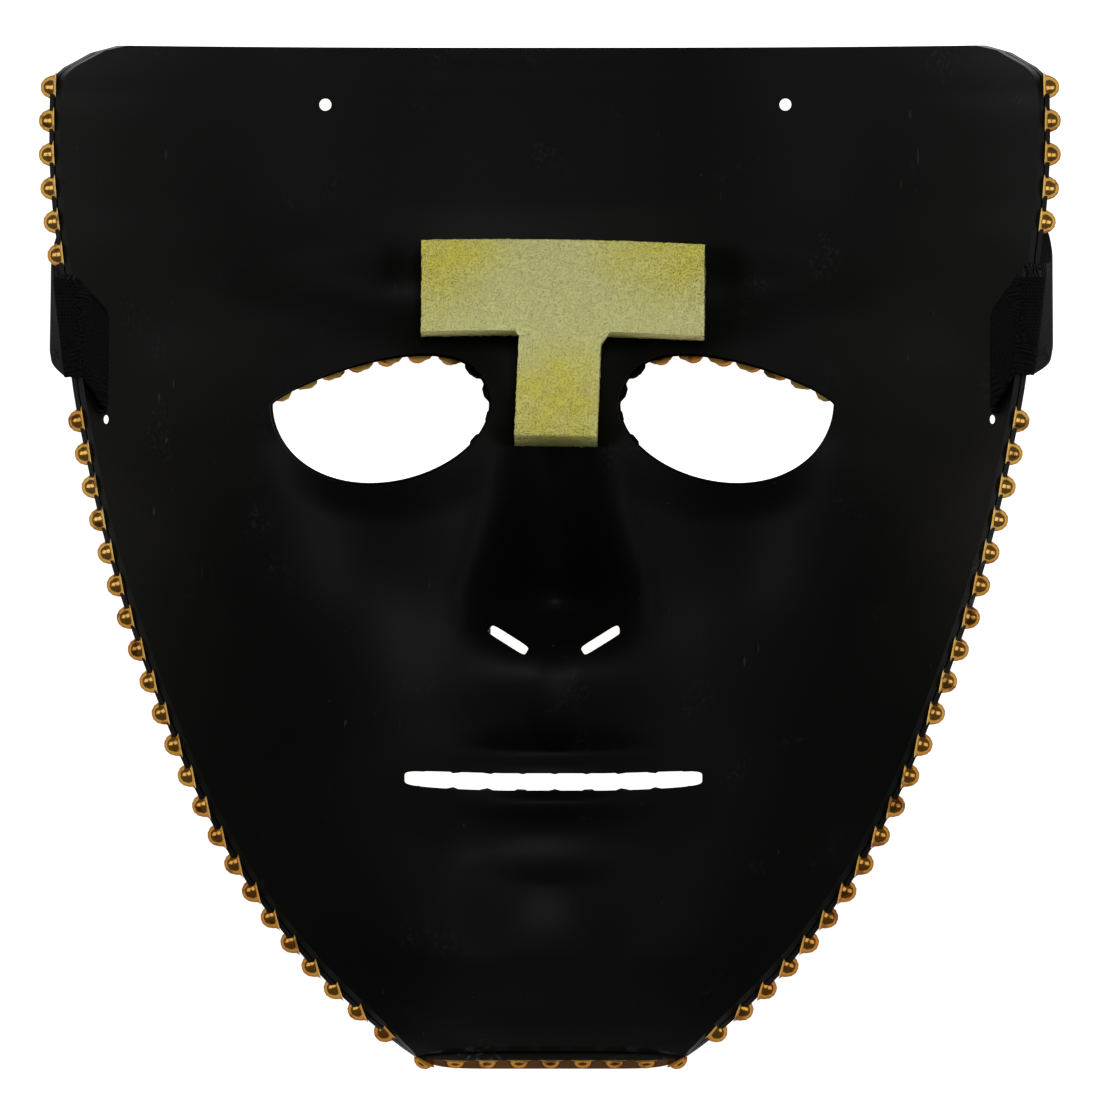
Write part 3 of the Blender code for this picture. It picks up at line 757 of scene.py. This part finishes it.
def pale_foam():
    """Yellow-green foam with open cells, paler where it has faded and darker in its pits as painted shade.
    """
    made, tree, shader = material("pale green foam", (0.72, 0.70, 0.33), 0.95)
    place = own_place(tree)
    foam = use(tree, CELLS, place)
    flat = add(tree, "ShaderNodeVectorMath", {"operation": "MULTIPLY"})
    tree.links.new(place, flat.inputs[0])
    flat.inputs[1].default_value = (1.0, 1.0, 0.0)
    nearest = 1.0
    for x, y in YELLOW_SPOTS:
        away = add(tree, "ShaderNodeVectorMath", {"operation": "DISTANCE"})
        tree.links.new(flat.outputs["Vector"], away.inputs[0])
        away.inputs[1].default_value = (x, y, 0.0)
        nearest = calc(tree, "MINIMUM", nearest, away.outputs["Value"])
    drift = calc(tree, "MULTIPLY", calc(tree, "SUBTRACT", foam["Patch"], 0.5), 20 * MM)
    faded = span(tree, calc(tree, "ADD", nearest, drift), 3 * MM, 17 * MM)
    base = mixed(tree, faded, (0.95, 0.86, 0.13, 1.0), (0.92, 0.91, 0.38, 1.0))
    base = mixed(tree, span(tree, foam["Mottle"], 0.3, 0.7, 0.0, 0.3), base, (0.88, 0.86, 0.42, 1.0))
    # Darker in the pits of the open cells: painted shade
    base = stained(tree, base, foam["Pores"], 0.45, (0.45, 0.36, 0.06))
    tree.links.new(base, shader.inputs["Base Color"])
    shader.inputs["Specular IOR Level"].default_value = 0.1
    lift = calc(tree, "SUBTRACT", 1.0, foam["Pores"])
    bump(tree, shader, lift, 0.5 * MM, 0.8)
    return made


def black_elastic():
    """Black elastic, woven in a fine herringbone between looped edges, its hollows painted darker as shade.
    """
    made, tree, shader = material("black woven elastic", (0.004, 0.004, 0.004), 1.0)
    place = add(tree, "ShaderNodeUVMap", {"uv_map": "weave"}).outputs["UV"]
    cloth = use(tree, WEAVE, place)
    # Lighter on the threads' crowns and darker in the hollows between them: painted light and shade
    base = mixed(tree, cloth["Height"], (0.0024, 0.0024, 0.0023, 1.0), (0.0090, 0.0090, 0.0088, 1.0))
    base = stained(tree, base, cloth["Loops"], 0.6, (0.035, 0.035, 0.035))
    tree.links.new(base, shader.inputs["Base Color"])
    shader.inputs["Specular IOR Level"].default_value = 0.03
    bump(tree, shader, cloth["Height"], 0.12 * MM)
    return made


def make_shell():
    bm = cut_openings(moulded(SHELL_COLUMNS, SHELL_ROWS, SHELL_FRONT, SHELL_INSIDE), SHELL_EYE_GROW)
    bm.normal_update()
    for face in bm.faces:
        middle = face.calc_center_median()
        # Faces that turn away from the front, the cut walls and the rim, take the paler edge black: painted
        # highlight
        face.material_index = 1 if abs(face.normal.dot(layer(middle.x, middle.y)[1])) < FACING else 0
    return piece("mask_inside", bm, [BLACK, EDGE_BLACK_PAINTED_HIGHLIGHT], replaces="mask_shell")


def make_cover():
    """The moulded cover: gold in front, black at the back, with a brown band at the chin's lip."""
    bm = cut_openings(moulded(COVER_COLUMNS, COVER_ROWS, 0.0, COVER_THICKNESS, CHIN_FLANGE))
    bm.normal_update()
    for face in bm.faces:
        middle = face.calc_center_median()
        facing = face.normal.dot(layer(middle.x, max(middle.y, BOTTOM_Y))[1])
        if facing < -FACING:
            face.material_index = 0
        elif middle.y < BOTTOM_Y - CHIN_STRIP:
            face.material_index = 3
        else:
            # The back in the chin band takes the paler edge black too, whose lighter tone is a painted
            # highlight
            face.material_index = 1 if facing > FACING and middle.y > BOTTOM_Y + CHIN_BAND else 2
    materials = [GOLD, BLACK, EDGE_BLACK_PAINTED_HIGHLIGHT, GOLD_BAND]
    return piece("front_cover", bm, materials, replaces="stud_cover")


def evenly(points, pitch):
    """Points at even steps near the pitch along a polyline, the ends included."""
    lengths = [(b - a).length for a, b in zip(points, points[1:])]
    count = max(1, round(sum(lengths) / pitch))
    placed = []
    for k in range(count + 1):
        left = sum(lengths) * k / count
        i = 0
        while i < len(lengths) - 1 and left > lengths[i]:
            left -= lengths[i]
            i += 1
        placed.append(points[i].lerp(points[i + 1], min(left / lengths[i], 1.0)))
    return placed


def rim_track():
    """Line of the edge studs, down one side, along the chin edge and up the other side."""
    top, chin = 0.958, 0.008

    def beside(y):
        step = 0.5 * MM
        width = half_width(y)
        narrowing = (half_width(y + step) - half_width(y - step)) / (2 * step)
        steepness = (front(width, y) - front(width - step, y)) / step
        return width - RIM_INSET * math.hypot(1, narrowing) / math.hypot(1, steepness)

    heights = [up(top + (chin - top) * k / LINE_STEPS) for k in range(LINE_STEPS + 1)]
    right = [(beside(y), y) for y in heights]
    left = [(-x, y) for x, y in reversed(right)]
    return [layer(x, y)[0] for x, y in right + left]


def under_elastic(x, y):
    """True where a stud would stand in the way of the elastic's fold over the rim."""
    low, high = RIGHT_LIFTS if x > 0 else LEFT_LIFTS
    reach = STRAP_WIDTH / 2 + STUD_RADIUS + CLEARANCE
    return abs(x) > slot_x() and low - reach < y - up(STRAP_UP) < high + reach


def beside_eye(side, angle, inset):
    """A point this far outside an eye opening, square to its outline."""
    x, y = eye_edge(side, angle)
    before, after = eye_edge(side, angle - 0.02), eye_edge(side, angle + 0.02)
    run = Vector((after[0] - before[0], after[1] - before[1])).normalized()
    return x + side * run.y * inset, y - side * run.x * inset


def edge_places():
    """Studs in line with the rim, the eyes and the mouth."""
    places = [(p.x, p.y) for p in evenly(rim_track(), STUD_PITCH) if not under_elastic(p.x, p.y)]
    shares = [k / LINE_STEPS for k in range(LINE_STEPS + 1)]
    for side in (-1, 1):
        upper = []
        for share in shares:
            turn = EYE_STUDS_FROM + EYE_STUDS_SPAN * share
            ease = EYE_INSET_EASE * max(math.sin(turn), 0.0)
            upper.append(beside_eye(side, turn, EYE_INSET * (1 - ease)))
        lower_turn = math.tau - EYE_STUDS_SPAN
        lower_start = EYE_STUDS_FROM + EYE_STUDS_SPAN
        lower = [eye_edge(side, lower_start + lower_turn * share, EYE_LOWER_INSET) for share in shares]
        for ring, ends in ((upper, 0), (lower, 1)):
            ring = [layer(x, y)[0] for x, y in ring]
            studs = evenly(ring, STUD_PITCH)
            places += [(p.x, p.y) for p in studs[ends : len(studs) - ends]]
    reach = MOUTH_HALF_LENGTH - STUD_RADIUS
    count = round(2 * reach / STUD_PITCH)
    for k in range(count + 1):
        x = reach * (2 * k / count - 1)
        lip = MOUTH_SMILE * (x / MOUTH_HALF_LENGTH) ** 2
        for upward in (-1, 1):
            places.append((x, up(MOUTH_AT[1]) + lip + upward * (MOUTH_HALF_HEIGHT + MOUTH_INSET)))
    places.append((0.0, nose_tip()))
    return places


def field_places(taken):
    """Staggered rows over the rest of the front, clear of the studs that are placed already."""
    rows = [Vector((0.0, up(k / 200), front(0.0, up(k / 200)))) for k in range(3, 199)]
    placed = list(taken)
    for j, row in enumerate(evenly(rows, ROW_PITCH)):
        width = half_width(row.y) - STUD_RADIUS
        across = [width * k / LINE_STEPS for k in range(LINE_STEPS + 1)]
        line = [Vector((x, row.y, front(x, row.y))) for x in across]
        reach = sum((b - a).length for a, b in zip(line, line[1:]))
        count = int(reach / STUD_PITCH)
        for k in range(count + 1):
            along = (k + 0.5 * (j % 2)) * STUD_PITCH
            for a, b in zip(line, line[1:]):
                length = (b - a).length
                if along <= length:
                    break
                along -= length
            else:
                continue
            x = a.lerp(b, along / length).x
            for side in (-1, 1) if x > 0.1 * MM else (1,):
                spot = layer(side * x, row.y)[0]
                if keeps_clear(spot, placed):
                    placed.append((spot.x, spot.y))
    return placed[len(taken):]


def keeps_clear(spot, placed):
    """True if a stud here touches no other stud and lies on the cover, off its openings."""
    if under_elastic(spot.x, spot.y):
        return False
    if spot.y > up(1.0) - 1.15 * STUD_RADIUS:
        return False
    for x, y in placed:
        if abs(x - spot.x) < NEAREST_STUDS and abs(y - spot.y) < NEAREST_STUDS:
            if (Vector((x, y, front(x, y))) - spot).length < NEAREST_STUDS:
                return False
    for side in (-1, 1):
        from_eye_x = (spot.x - side * EYE_AT[0] * HALF_WIDTH) / (EYE_HALF_LENGTH + STUD_RADIUS)
        from_eye_y = (spot.y - up(EYE_AT[1])) / EYE_LOWER
        if math.hypot(from_eye_x, from_eye_y) < 1:
            return False
        nostril = (side * NOSTRIL_AT[0] * HALF_WIDTH, up(NOSTRIL_AT[1]))
        if math.hypot(spot.x - nostril[0], spot.y - nostril[1]) < NOSTRIL_HALF_LENGTH + 0.6 * STUD_RADIUS:
            return False
        hole = (side * HOLE_AT[0] * HALF_WIDTH, up(HOLE_AT[1]))
        if math.hypot(spot.x - hole[0], spot.y - hole[1]) < HOLE_RADIUS + STUD_RADIUS:
            return False
        slot = wall(side, spot.y)[0]
        by_elastic = abs(spot.y - up(STRAP_UP)) < STRAP_WIDTH / 2 + SLOT_LOW_GAP + STUD_RADIUS
        if by_elastic and (spot - slot).length < TAB_LENGTH + STUD_RADIUS:
            return False
    in_mouth = abs(spot.y - up(MOUTH_AT[1])) < MOUTH_HALF_HEIGHT + STUD_RADIUS
    return not (in_mouth and abs(spot.x) < MOUTH_HALF_LENGTH + STUD_RADIUS)


def stud_axis(x, y, inward):
    """Square to the front, and turned outward right at the rim."""
    outward = Vector((math.copysign(1.0, x), 0.0, RIM_LEAN))
    if height_share(y) < CHIN_REACH:
        to_corner = max(abs(x) / half_width(BOTTOM_Y) - CHIN_CORNER_FROM, 0.0)
        outward = Vector((math.copysign(CHIN_CORNER_LEAN * to_corner, x), *CHIN_LEAN))
    at_rim = abs(x) > half_width(y) - 2 * RIM_INSET or height_share(y) < CHIN_REACH
    return ((outward * LEAN_SHARE if at_rim else Vector()) - inward).normalized()


def blackened(x, y):
    """True for the studs at the mouth and in the eyes' inner corners, which black plastic runs over."""
    by_mouth = abs(y - up(MOUTH_AT[1])) < 3 * STUD_RADIUS and abs(x) < MOUTH_HALF_LENGTH
    by_eye = abs(y - up(EYE_AT[1])) < EYE_LOWER + STUD_RADIUS and abs(x) < EYE_CORNER
    return by_mouth or by_eye


def stud_pattern():
    """The mesh of one stud: a dome with a flared skirt and a closed foot."""
    dome = bmesh.new()
    for radius, height in STUD_SECTION:
        ring = bmesh.ops.create_circle(dome, segments=STUD_SIDES, radius=radius * STUD_RADIUS)["verts"]
        bmesh.ops.translate(dome, verts=ring, vec=(0, 0, height * STUD_HEIGHT))
    bmesh.ops.bridge_loops(dome, edges=dome.edges)
    foot = [v for v in dome.verts if v.co.z < -0.04 * STUD_HEIGHT]
    bmesh.ops.contextual_create(dome, geom=foot)
    crown = [v for v in dome.verts if v.co.z > 0.93 * STUD_HEIGHT]
    top = bmesh.ops.contextual_create(dome, geom=crown)["faces"]
    bmesh.ops.poke(dome, faces=top)
    for v in dome.verts:
        if math.hypot(v.co.x, v.co.y) < TINY:
            v.co.z = STUD_HEIGHT
    return finished("stud", dome)


def make_studs():
    """The whole field of studs, square to the front; those at the edges show their backs as well."""
    pattern = stud_pattern()
    edge = edge_places()
    field = bmesh.new()
    for number, (x, y) in enumerate(edge + field_places(edge)):
        foot, inward = layer(x, y)
        size = Matrix.Identity(4)
        if height_share(y) < CHIN_REACH / 2:
            lifted = layer(x, BOTTOM_Y)[0].z + CHIN_STUD_LIFT
            foot = Vector((CHIN_STUD_PULL * x, BOTTOM_Y - CHIN_STRIP, lifted))
            size = Matrix.Diagonal(CHIN_STUD_SIZE)
        verts_before, faces_before = len(field.verts), len(field.faces)
        field.from_mesh(pattern)
        field.verts.ensure_lookup_table()
        field.faces.ensure_lookup_table()
        if number < len(edge):
            # An edge stud's foot takes the brighter copy of the gold, painted light it catches, or black
            # where black plastic runs over it
            backed, up_to = (BLACK_AT_BACK, BLACK_UP_TO) if blackened(x, y) else (FOOT_GOLD_PAINTED_LIT, 0.0)
            for face in field.faces[faces_before:]:
                height = face.calc_center_median().z / STUD_HEIGHT
                face.material_index = backed if height < up_to else GOLD_IN_FRONT
        turn = stud_axis(x, y, inward).to_track_quat("Z", "Y").to_matrix().to_4x4()
        place = Matrix.Translation(foot) @ turn @ size
        bmesh.ops.transform(field, matrix=place, verts=field.verts[verts_before:])
    bpy.data.meshes.remove(pattern)
    bmesh.ops.recalc_face_normals(field, faces=field.faces)
    return piece("studs", field, [GOLD, GOLD_FOOT_PAINTED_LIT, BLACK], angle=70)


def make_pad():
    """The foam T: cut square, laid into the brow and the bridge of the nose."""
    columns, rows = round(PAD_WIDTH / PAD_CELL), round(PAD_HEIGHT / PAD_CELL)
    wing, bar = (PAD_WIDTH - PAD_STEM) / 2, PAD_BAR
    bm = bmesh.new()
    bmesh.ops.create_grid(bm, x_segments=columns, y_segments=rows, size=1.0)
    for v in bm.verts:
        v.co = Vector(((v.co.x + 1) / 2 * PAD_WIDTH, (1 - v.co.y) / 2 * PAD_HEIGHT, 0.0))
    for edge, along in ((wing, 0), (PAD_WIDTH - wing, 0), (bar, 1)):
        nearest = min(bm.verts, key=lambda v: abs(v.co[along] - edge)).co[along]
        for v in bm.verts:
            if abs(v.co[along] - nearest) < TINY:
                v.co[along] = edge

    def beside_stem(face):
        middle = face.calc_center_median()
        return middle.y > bar and not wing < middle.x < PAD_WIDTH - wing

    bmesh.ops.delete(bm, geom=[f for f in bm.faces if beside_stem(f)], context="FACES")
    back = set(bm.verts)
    bmesh.ops.extrude_face_region(bm, geom=list(bm.faces), use_keep_orig=True)
    sides = [e for e in bm.edges if (e.verts[0] in back) != (e.verts[1] in back)]
    for v in bm.verts:
        v.co.z = 0.0 if v in back else 1.0
    bmesh.ops.subdivide_edges(bm, edges=sides, cuts=PAD_LAYERS, use_grid_fill=True)
    top = up(PAD_TOP_UP)
    for v in bm.verts:
        share = v.co.z
        on_stem = wing - TINY <= v.co.x <= PAD_WIDTH - wing + TINY
        low_edge, slant = (PAD_HEIGHT, STEM_DRAWN_IN) if on_stem else (bar, BAR_DRAWN_IN)
        from_edge = (low_edge - v.co.y) / DRAWN_IN_OVER
        drawn_in = slant * max(0.0, 1 - from_edge) * share**3
        below_bar = max(v.co.y - bar, 0.0)
        slimmer = STEM_SLIMMER * min(below_bar / STEM_SLIMMER_FROM, 1.0) * (v.co.x - wing) / PAD_STEM
        lean = STEM_LEAN * below_bar / (PAD_HEIGHT - bar)
        x, y = v.co.x - slimmer - lean - PAD_WIDTH / 2, top - v.co.y
        y -= PAD_TURN * x + PAD_BOW * (2 * x / PAD_WIDTH) ** 2
        _, normal = layer(PAD_STEM / 2, y)
        normal.x = 0.0
        normal.normalize()
        behind = layer(max(abs(x), PAD_STEM / 2), y, SHELL_INSIDE + CLEARANCE)[0].z
        face = behind + PAD_THICKNESS / normal.z
        x += PAD_OFF_CENTRE
        _, steep = layer(x, y)
        bed = front(x, y) + (SHELL_INSIDE + PAD_SINK) / steep.z
        v.co = Vector((x, y + drawn_in, bed + (face - bed) * share))
    turn_outward(bm)
    bm.normal_update()
    coarse, fine = PAD_GRIT_SIZES
    moves = {}
    for v in bm.verts:
        grit = noise.noise(v.co / coarse) + PAD_GRIT_FINE_SHARE * noise.noise(v.co / fine)
        moves[v] = v.normal * (grit - PAD_GRIT_LEVEL) * PAD_GRIT
    for v, move in moves.items():
        v.co += move
    pad = piece("foam_t", bm, [pale_foam()], replaces="foam_pad", angle=60)


def rounded(points, radius, steps=8):
    """A polyline whose inner corners are turned at this radius."""
    line = [points[0]]
    for before, corner, after in zip(points, points[1:], points[2:]):
        start = corner + (before - corner).normalized() * radius
        end = corner + (after - corner).normalized() * radius
        for k in range(steps):
            t = k / (steps - 1)
            line.append(start * (1 - t) ** 2 + corner * 2 * t * (1 - t) + end * t**2)
    return line + [points[-1]]


def flowing(points, steps):
    """A smooth curve through the points, which starts at the second and ends at the last but one."""
    line = []
    for a, b, c, d in zip(points, points[1:], points[2:], points[3:]):
        start, end = (c - a) / 2, (d - b) / 2
        for k in range(steps):
            t = k / steps
            onward = b * (2 * t**3 - 3 * t**2 + 1) + c * (3 * t**2 - 2 * t**3)
            line.append(onward + start * (t**3 - 2 * t**2 + t) + end * (t**3 - t**2))
    return line + [points[-2]]


def strap_edge(side, upper):
    """Half of one edge of the elastic, from its sewn end to the middle of the floor stretch."""
    half = STRAP_WIDTH * (0.5 if upper else -0.5)
    y = up(STRAP_UP) + half
    lift = (LEFT_LIFTS, RIGHT_LIFTS)[side > 0][upper]
    inside = SHELL_INSIDE + CLOTH_CLEARANCE + STRAP_THICKNESS / 2
    tab = -(CLOTH_CLEARANCE + STRAP_THICKNESS / 2)
    outside = -(CLEARANCE + STRAP_THICKNESS / 2)
    _, lifted_to_rim, _, _ = wall(side, y + lift)
    past = CLOTH_CLEARANCE + STRAP_THICKNESS / 2
    loop = rounded(
        [
            Vector((-TAB_LENGTH, 0.0, tab)),
            Vector((0.0, 0.0, tab)),
            Vector((0.0, 0.0, inside)),
            Vector((lifted_to_rim + past, lift, inside)),
            Vector((lifted_to_rim + past, lift, outside)),
            Vector((lifted_to_rim - 2 * BEND, lift, outside)),
        ],
        BEND,
    )
    edge = []
    for along_by, climb, offset in loop[:-1]:
        slot, _, along, inward = wall(side, y + climb)
        edge.append(slot + along * along_by + inward * offset)
    rim_height = wall(side, y + lift)[0].z
    floor_y = up(FOREHEAD_UP)
    hang = [edge[-2], edge[-1]]
    for width_share, climb_share, height in STRAP_FALL:
        centre_y = up(STRAP_UP) + (floor_y - up(STRAP_UP)) * climb_share
        x = side * HALF_WIDTH * width_share
        hang.append(Vector((x, centre_y + half, STRAP_THICKNESS / 2 + rim_height * height)))
    landing = hang[-1]
    hang.append(landing + Vector((-side * (abs(hang[-2].x) - abs(landing.x)), 0.0, 0.0)))
    edge = edge[:-1] + flowing(hang, HANG_STEPS)
    for point in edge:
        point.z = max(point.z, STRAP_THICKNESS / 2)
    return edge + [Vector((0.0, landing.y, landing.z))]


def make_elastic():
    """The elastic, from one sewn end through its slot and under the forehead to the other."""
    edges = []
    for upper in (False, True):
        left, right = strap_edge(-1, upper), strap_edge(1, upper)
        edges.append(left + right[-2::-1])
    middle = [(a + b) / 2 for a, b in zip(*edges)]
    lengths = [0.0]
    for a, b in zip(middle, middle[1:]):
        lengths.append(lengths[-1] + (b - a).length)
    rows = round(lengths[-1] / WEAVE_ROW)
    columns = STRAP_COLUMNS

    def row(k):
        """Both edge points at a row of the weave."""
        along = lengths[-1] * min(max(k, 0), rows) / rows
        i = max(n for n in range(len(lengths) - 1) if lengths[n] <= along + 1e-12)
        t = (along - lengths[i]) / (lengths[i + 1] - lengths[i])
        return [line[i].lerp(line[i + 1], t) for line in edges]

    sections = [row(k) for k in range(rows + 1)]

    def place(i, j, skin):
        before, here, after = sections[max(j - 1, 0)], sections[j], sections[min(j + 1, rows)]
        share = i / columns
        run = after[0].lerp(after[1], share) - before[0].lerp(before[1], share)
        width = here[1] - here[0]
        thick = run.cross(width).normalized()
        scallop = LOOP_OUT * (j % 2) * (1 if i == columns else -1 if i == 0 else 0)
        thin = LOOP_THIN if i in (0, columns) else 1.0
        point = here[0].lerp(here[1], share) + width.normalized() * scallop
        return point + thick * STRAP_THICKNESS * thin * (skin - 0.5)

    bm = slab(columns, rows, place)
    weave_map = bm.loops.layers.uv.new("weave")
    tag_rows(bm, weave_map, sections, lengths[-1])
    cloth = piece("elastic_band", bm, [black_elastic()], replaces="elastic_strap")


def tag_rows(bm, weave_map, sections, length):
    """Gives each point its distance across and along the elastic."""
    tree = KDTree(len(sections))
    for k, (low, high) in enumerate(sections):
        tree.insert((low + high) / 2, k)
    tree.balance()
    spots = {}
    for v in bm.verts:
        near = tree.find_n(v.co, 1)[0][1]
        low, high = sections[near]
        width = high - low
        spots[v] = (width.normalized().dot(v.co - low), length * near / (len(sections) - 1))
    for face in bm.faces:
        for loop in face.loops:
            loop[weave_map].uv = spots[loop.vert]


def make_stage():
    """A pale floor, a camera straight above and soft lights."""
    floor_mesh = bmesh.new()
    bmesh.ops.create_grid(floor_mesh, x_segments=1, y_segments=1, size=3.0)
    floor = shown("floor", finished("floor", floor_mesh))
    floor_material, _, shader = material("pale floor", (0.93, 0.93, 0.93), 0.9)
    shader.inputs["Emission Color"].default_value = (1.0, 1.0, 1.0, 1.0)
    shader.inputs["Emission Strength"].default_value = 0.95
    floor.data.materials.append(floor_material)
    lens = bpy.data.cameras.new("camera")
    lens.sensor_width = FILM_WIDTH
    lens.lens = lens.sensor_width * CAMERA_DISTANCE / PICTURE_WIDTH
    lens.clip_start, lens.clip_end = CLIP_FROM, CLIP_TO
    camera = shown("camera", lens)
    view_from = CAMERA_FROM.normalized()
    camera.location = PICTURE_MIDDLE + view_from * CAMERA_DISTANCE
    camera.rotation_euler = (0.0, math.atan2(view_from.x, view_from.z), 0.0)
    bpy.context.scene.camera = camera
    world = bpy.data.worlds.new("studio")
    world.use_nodes = True
    sky = world.node_tree.nodes["Background"]
    sky.inputs["Color"].default_value = (1.0, 1.0, 1.0, 1.0)
    sky.inputs["Strength"].default_value = 0.10
    bpy.context.scene.world = world
    bpy.context.scene.view_settings.view_transform = "Standard"
    soft_light("light above", (0.2, 0.9, 1.8), 0.8, 12.0)
    soft_light("light left", (-1.3, 0.1, 0.9), 0.7, 4.0)
    soft_light("light right", (1.3, -0.1, 0.9), 0.7, 4.0)


def soft_light(name, place, size, power):
    """A square light of this size and power, turned to the middle of the floor."""
    light = bpy.data.lights.new(name, "AREA")
    light.shape = "SQUARE"
    light.size = size
    light.energy = power
    thing = shown(name, light)
    thing.location = place
    thing.rotation_euler = (-Vector(place)).to_track_quat("-Z", "Y").to_euler()


make_stage()
GOLD = gold_plating("gold plated studs", (0.44, 0.25, 0.062), (0.33, 0.15, 0.027), 0.85, 0.17)
# A brighter, mostly matte copy of the gold for the studs' feet: painted light that the feet catch
GOLD_FOOT_PAINTED_LIT = gold_plating("back of the gold sheet, painted brighter as lit", (0.88, 0.63, 0.165), (0.72, 0.37, 0.058), 0.2, 0.35)
GOLD_BAND = gold_plating("brown gold band", (0.22, 0.09, 0.011), (0.11, 0.037, 0.005), 0.3, 0.35)
BLACK = black_plastic("black moulded plastic", 0.0026, 0.52)
# A paler copy of the black for cut walls and rims: its stronger scuffs are wear, its lighter tone a painted
# highlight
EDGE_BLACK_PAINTED_HIGHLIGHT = black_plastic("cut black edge, paler as painted highlight", 0.0075, 0.45, marks=6.0)
make_shell()
make_cover()
make_studs()
make_pad()
make_elastic()
